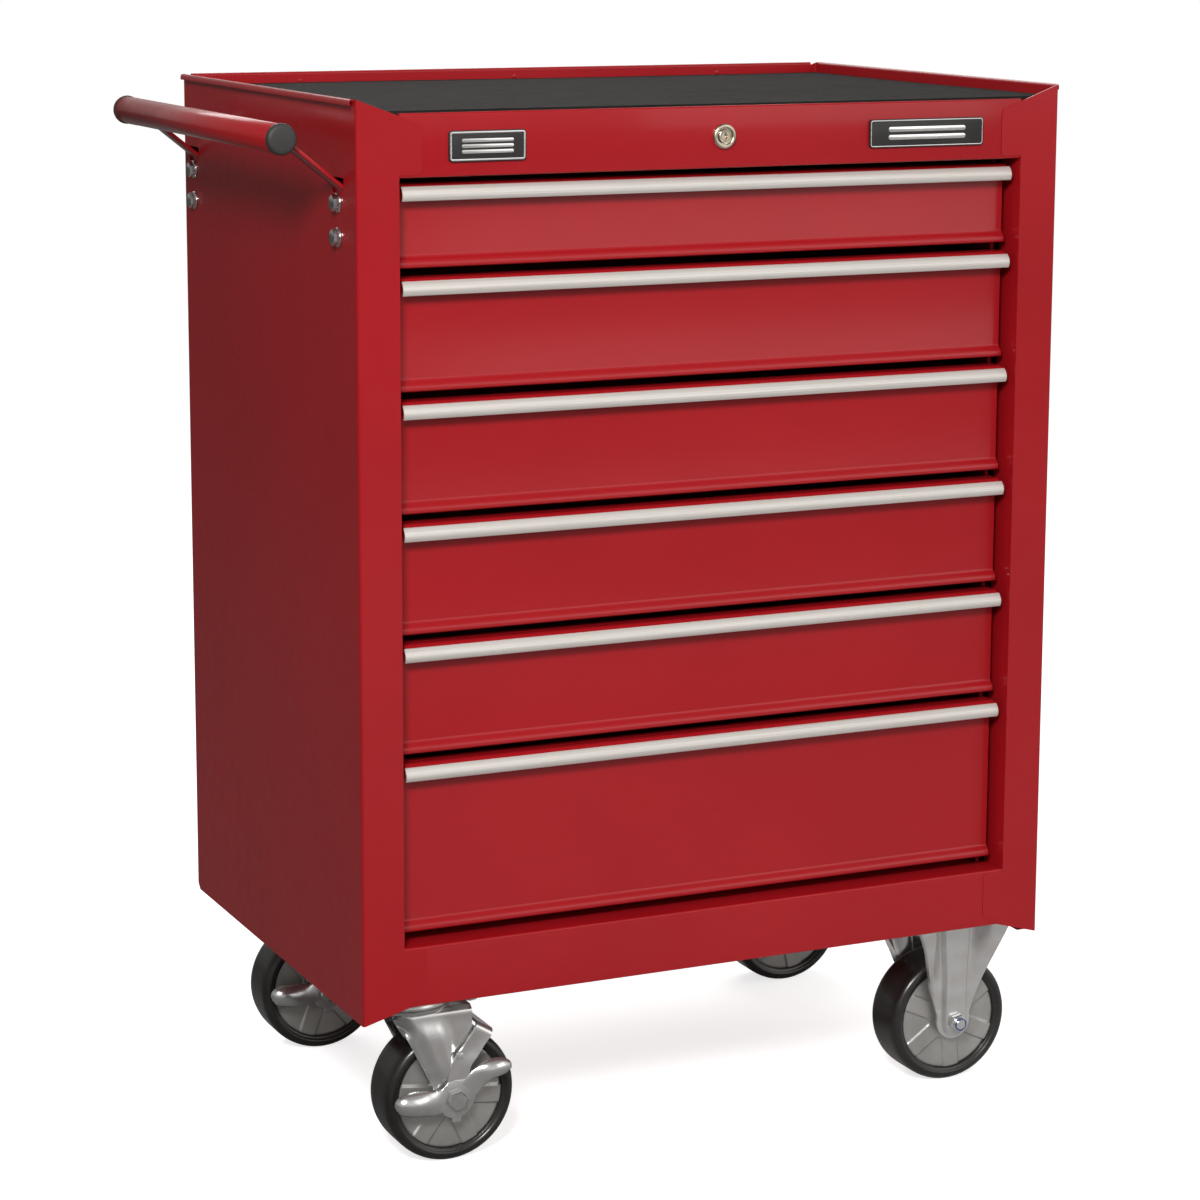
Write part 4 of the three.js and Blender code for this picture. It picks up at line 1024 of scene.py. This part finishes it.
def add_wheel(side, row):
    """A hub, its tyre and its sleeve. Returns the middle of the wheel."""
    body = f"{side}_{row}_wheel"
    low, high = local_box(f"{body}_tyre")
    at = ((low.x + high.x) / 2, (low.y + high.y) / 2, AXLE_Z)
    piece(f"{body}_hub_cast", wheel_hub(-HUB_TURNS[f"{side}_{row}"]), body, HUB, at=at, smooth=48,
          replaces=[f"{body}_hub"])
    piece(f"{body}_tyre_solid", wheel_tyre(), body, TYRE, at=at, smooth=60,
          replaces=[f"{body}_tyre"])
    piece(f"{body}_bearing_sleeve", wheel_bearing(), body, BEARING, at=at,
          replaces=[f"{body}_bearing"])
    return at


def castor_piece(name, bm, body, material, at, node=None, smooth=34.0):
    """A plated piece of a castor, which stands in for a node where one is named."""
    piece(name, bm, body, material, at=at, smooth=smooth, replaces=[node] if node else ())


for row in ("front", "rear"):
    at = add_wheel("right", row)
    name = f"right_{row}_castor"
    seat = OUTER + RIB + GAP
    castor_piece(f"{name}_fork_pressed", rigid_fork(), "cabinet", ZINC, at, f"{name}_fork", 50)
    axle = merged(stud(-seat - 9.4, seat + 1), hex_nut(16, -seat, -1, True), hex_nut(17, seat, 1))
    castor_piece(f"{name}_axle_bolt", axle, "cabinet", CHROME, at, f"{name}_axle")
    castor_piece(f"{name}_nut_insert", insert_ring(-seat - NUT, -1), "cabinet", NYLON, at)

    at = add_wheel("left", row)
    body = f"left_{row}_swivel"
    name = f"left_{row}_castor"
    kingpin = (at[0] + KINGPIN_X, at[1], AXLE_Z)
    bolt_front = LEVER_FRONT - GAP
    nut_side = OUTER + GAP
    castor_piece(f"{name}_swivel_head", swivel_head(), "cabinet", ZINC, kingpin, f"{name}_plate", 50)
    castor_piece(f"{name}_fork_pressed", swivel_fork(), body, ZINC, at, f"{name}_fork", 50)
    axle = merged(stud(bolt_front - 1, nut_side + 9.0), hex_nut(17, bolt_front, -1), hex_nut(16, nut_side, 1, True))
    castor_piece(f"{name}_axle_bolt", axle, body, CHROME, at, f"{name}_axle")
    castor_piece(f"{name}_nut_insert", insert_ring(nut_side + NUT, 1), body, NYLON, at)
    brake = f"left_{row}_brake"
    castor_piece(f"{brake}_strap_pressed", brake_strap(), body, ZINC, at, f"{brake}_strap", 50)
    castor_piece(f"{brake}_rocker", brake_lever(), brake, ZINC, at, f"{brake}_lever", 50)

# ---------------- small fixings on the case
rivet_y = DEPTH - SHEET - GAP - SHEET
rivets = [lathe([(0, -1.1), (1.5, -0.95), (2.6, -0.4), (2.9, 0.1), (0, 0.1)], "y", 20, (x, rivet_y, 955.2))
          for x in (118.0, 345.0, 572.0)]
piece("back_panel_rivets", merged(*rivets), "cabinet", RED)


# ---------------- floor, light, camera
FLOOR_FADE = (-0.45, 0.25)
FLOOR_RADIUS = 30.0
FLOOR_LIFT = 0.72


def seen_apart(tree, lit, seen, output):
    """One shader lights the object, and the other is what the camera sees."""
    path = new_node(tree, "LightPath")
    mix = new_node(tree, "MixShader")
    tree.links.new(path.outputs["Is Camera Ray"], mix.inputs["Fac"])
    tree.links.new(lit.outputs[0], mix.inputs[1])
    tree.links.new(seen.outputs[0], mix.inputs[2])
    tree.links.new(mix.outputs[0], output.inputs["Surface"])


def floor_finish():
    """Pale where it is seen. The light that it sends up to the cabinet is less, and least towards the left:
    FLOOR_FADE is where along X it begins and stops to grow."""
    f = Finish("studio_floor_paint", Roughness=0.85)
    split = new_node(f.tree, "SeparateXYZ")
    f.link(f.coords, split.inputs[0])
    to_right = f.ramp(split.outputs["X"], 0.0, 1.0, FLOOR_FADE)
    f.colour(to_right, (0.13, 0.13, 0.13), (0.50, 0.50, 0.50), (0.0, 1.0))
    pale = new_node(f.tree, "BsdfDiffuse", Color=(0.94, 0.94, 0.94, 1))
    lift = new_node(f.tree, "Emission", Strength=FLOOR_LIFT)
    both = new_node(f.tree, "AddShader")
    f.link(pale.outputs[0], both.inputs[0])
    f.link(lift.outputs[0], both.inputs[1])
    seen_apart(f.tree, f.shader, both, f.tree.nodes["Material Output"])
    return f.material


def stage_floor():
    bm = bmesh.new()
    bm.faces.new([bm.verts.new((x, y, 0.0)) for x, y in arc(0.0, 0.0, FLOOR_RADIUS, 0, 360, 96)[:-1]])
    mesh = bpy.data.meshes.new("studio_floor")
    bm.to_mesh(mesh)
    bm.free()
    mesh.materials.append(floor_finish())
    obj = bpy.data.objects.new("studio_floor", mesh)
    bpy.context.scene.collection.objects.link(obj)
    obj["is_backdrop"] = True


def area_light(name, location, target, size, energy):
    """A rectangular lamp that faces a target."""
    data = bpy.data.lights.new(name, "AREA")
    data.shape = "RECTANGLE"
    data.size, data.size_y = size
    data.energy = energy
    obj = bpy.data.objects.new(name, data)
    obj.location = location
    obj.rotation_euler = (Vector(target) - Vector(location)).to_track_quat("-Z", "Y").to_euler()
    bpy.context.scene.collection.objects.link(obj)


def studio_world():
    """A surround that is brightest in a belt at eye height to the front and right, dim overhead, and white
    where the camera sees it."""
    world = bpy.data.worlds.new("studio")
    bpy.context.scene.world = world
    world.use_nodes = True
    tree = world.node_tree

    def scaled(value, factor, plus):
        """A value times a factor, plus a number or another value."""
        node = new_node(tree, "Math")
        node.operation = "MULTIPLY_ADD"
        tree.links.new(value, node.inputs[0])
        node.inputs[1].default_value = factor
        if isinstance(plus, float):
            node.inputs[2].default_value = plus
        else:
            tree.links.new(plus, node.inputs[2])
        return node.outputs[0]

    split = new_node(tree, "SeparateXYZ")
    tree.links.new(new_node(tree, "TexCoord").outputs["Generated"], split.inputs["Vector"])
    belt = new_node(tree, "ValToRGB")
    stops = [(0.0, 0.30), (0.5, 0.46), (0.62, 0.62), (0.76, 0.52), (0.90, 0.28), (1.0, 0.14)]
    while len(belt.color_ramp.elements) < len(stops):
        belt.color_ramp.elements.new(0.5)
    for element, (at, level) in zip(belt.color_ramp.elements, stops):
        element.position = at
        element.color = (level, level * 0.985, level * 0.965, 1)
    tree.links.new(scaled(split.outputs["Z"], 0.5, 0.5), belt.inputs["Fac"])
    lit = tree.nodes["Background"]
    tree.links.new(belt.outputs["Color"], lit.inputs["Color"])
    to_front = scaled(split.outputs["Y"], -0.20, 0.86)
    tree.links.new(scaled(split.outputs["X"], 0.38, to_front), lit.inputs["Strength"])
    seen = new_node(tree, "Background", Color=(1, 1, 1, 1))
    seen_apart(tree, lit, seen, tree.nodes["World Output"])


stage_floor()
studio_world()
area_light("right_softbox", (2.3, -3.3, 1.9), (0, 0, 0.6), (2.6, 2.4), 20)
area_light("front_lamp", (-1.62, -2.6, 2.3), (0, 0, 0.55), (0.7, 0.7), 84)
area_light("back_softbox", (0.6, 2.4, 2.6), (0, 0, 0.6), (2.4, 1.2), 30)

CAMERA_PLACE = (-1.3010, -2.8666, 1.1252)
CAMERA_DEGREES = (79.897, -0.207, -24.751)
CAMERA_LENS = 100.287
CAMERA_SHIFT = -0.08333
camera_data = bpy.data.cameras.new("camera")
camera_data.lens = CAMERA_LENS
camera_data.sensor_width = 36.0
camera_data.shift_y = CAMERA_SHIFT
camera_data.clip_end = 200.0
camera = bpy.data.objects.new("camera", camera_data)
camera.location = CAMERA_PLACE
camera.rotation_euler = [math.radians(a) for a in CAMERA_DEGREES]
bpy.context.scene.collection.objects.link(camera)
bpy.context.scene.camera = camera
bpy.context.scene.view_settings.view_transform = "Standard"

bpy.context.view_layer.update()
low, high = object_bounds()
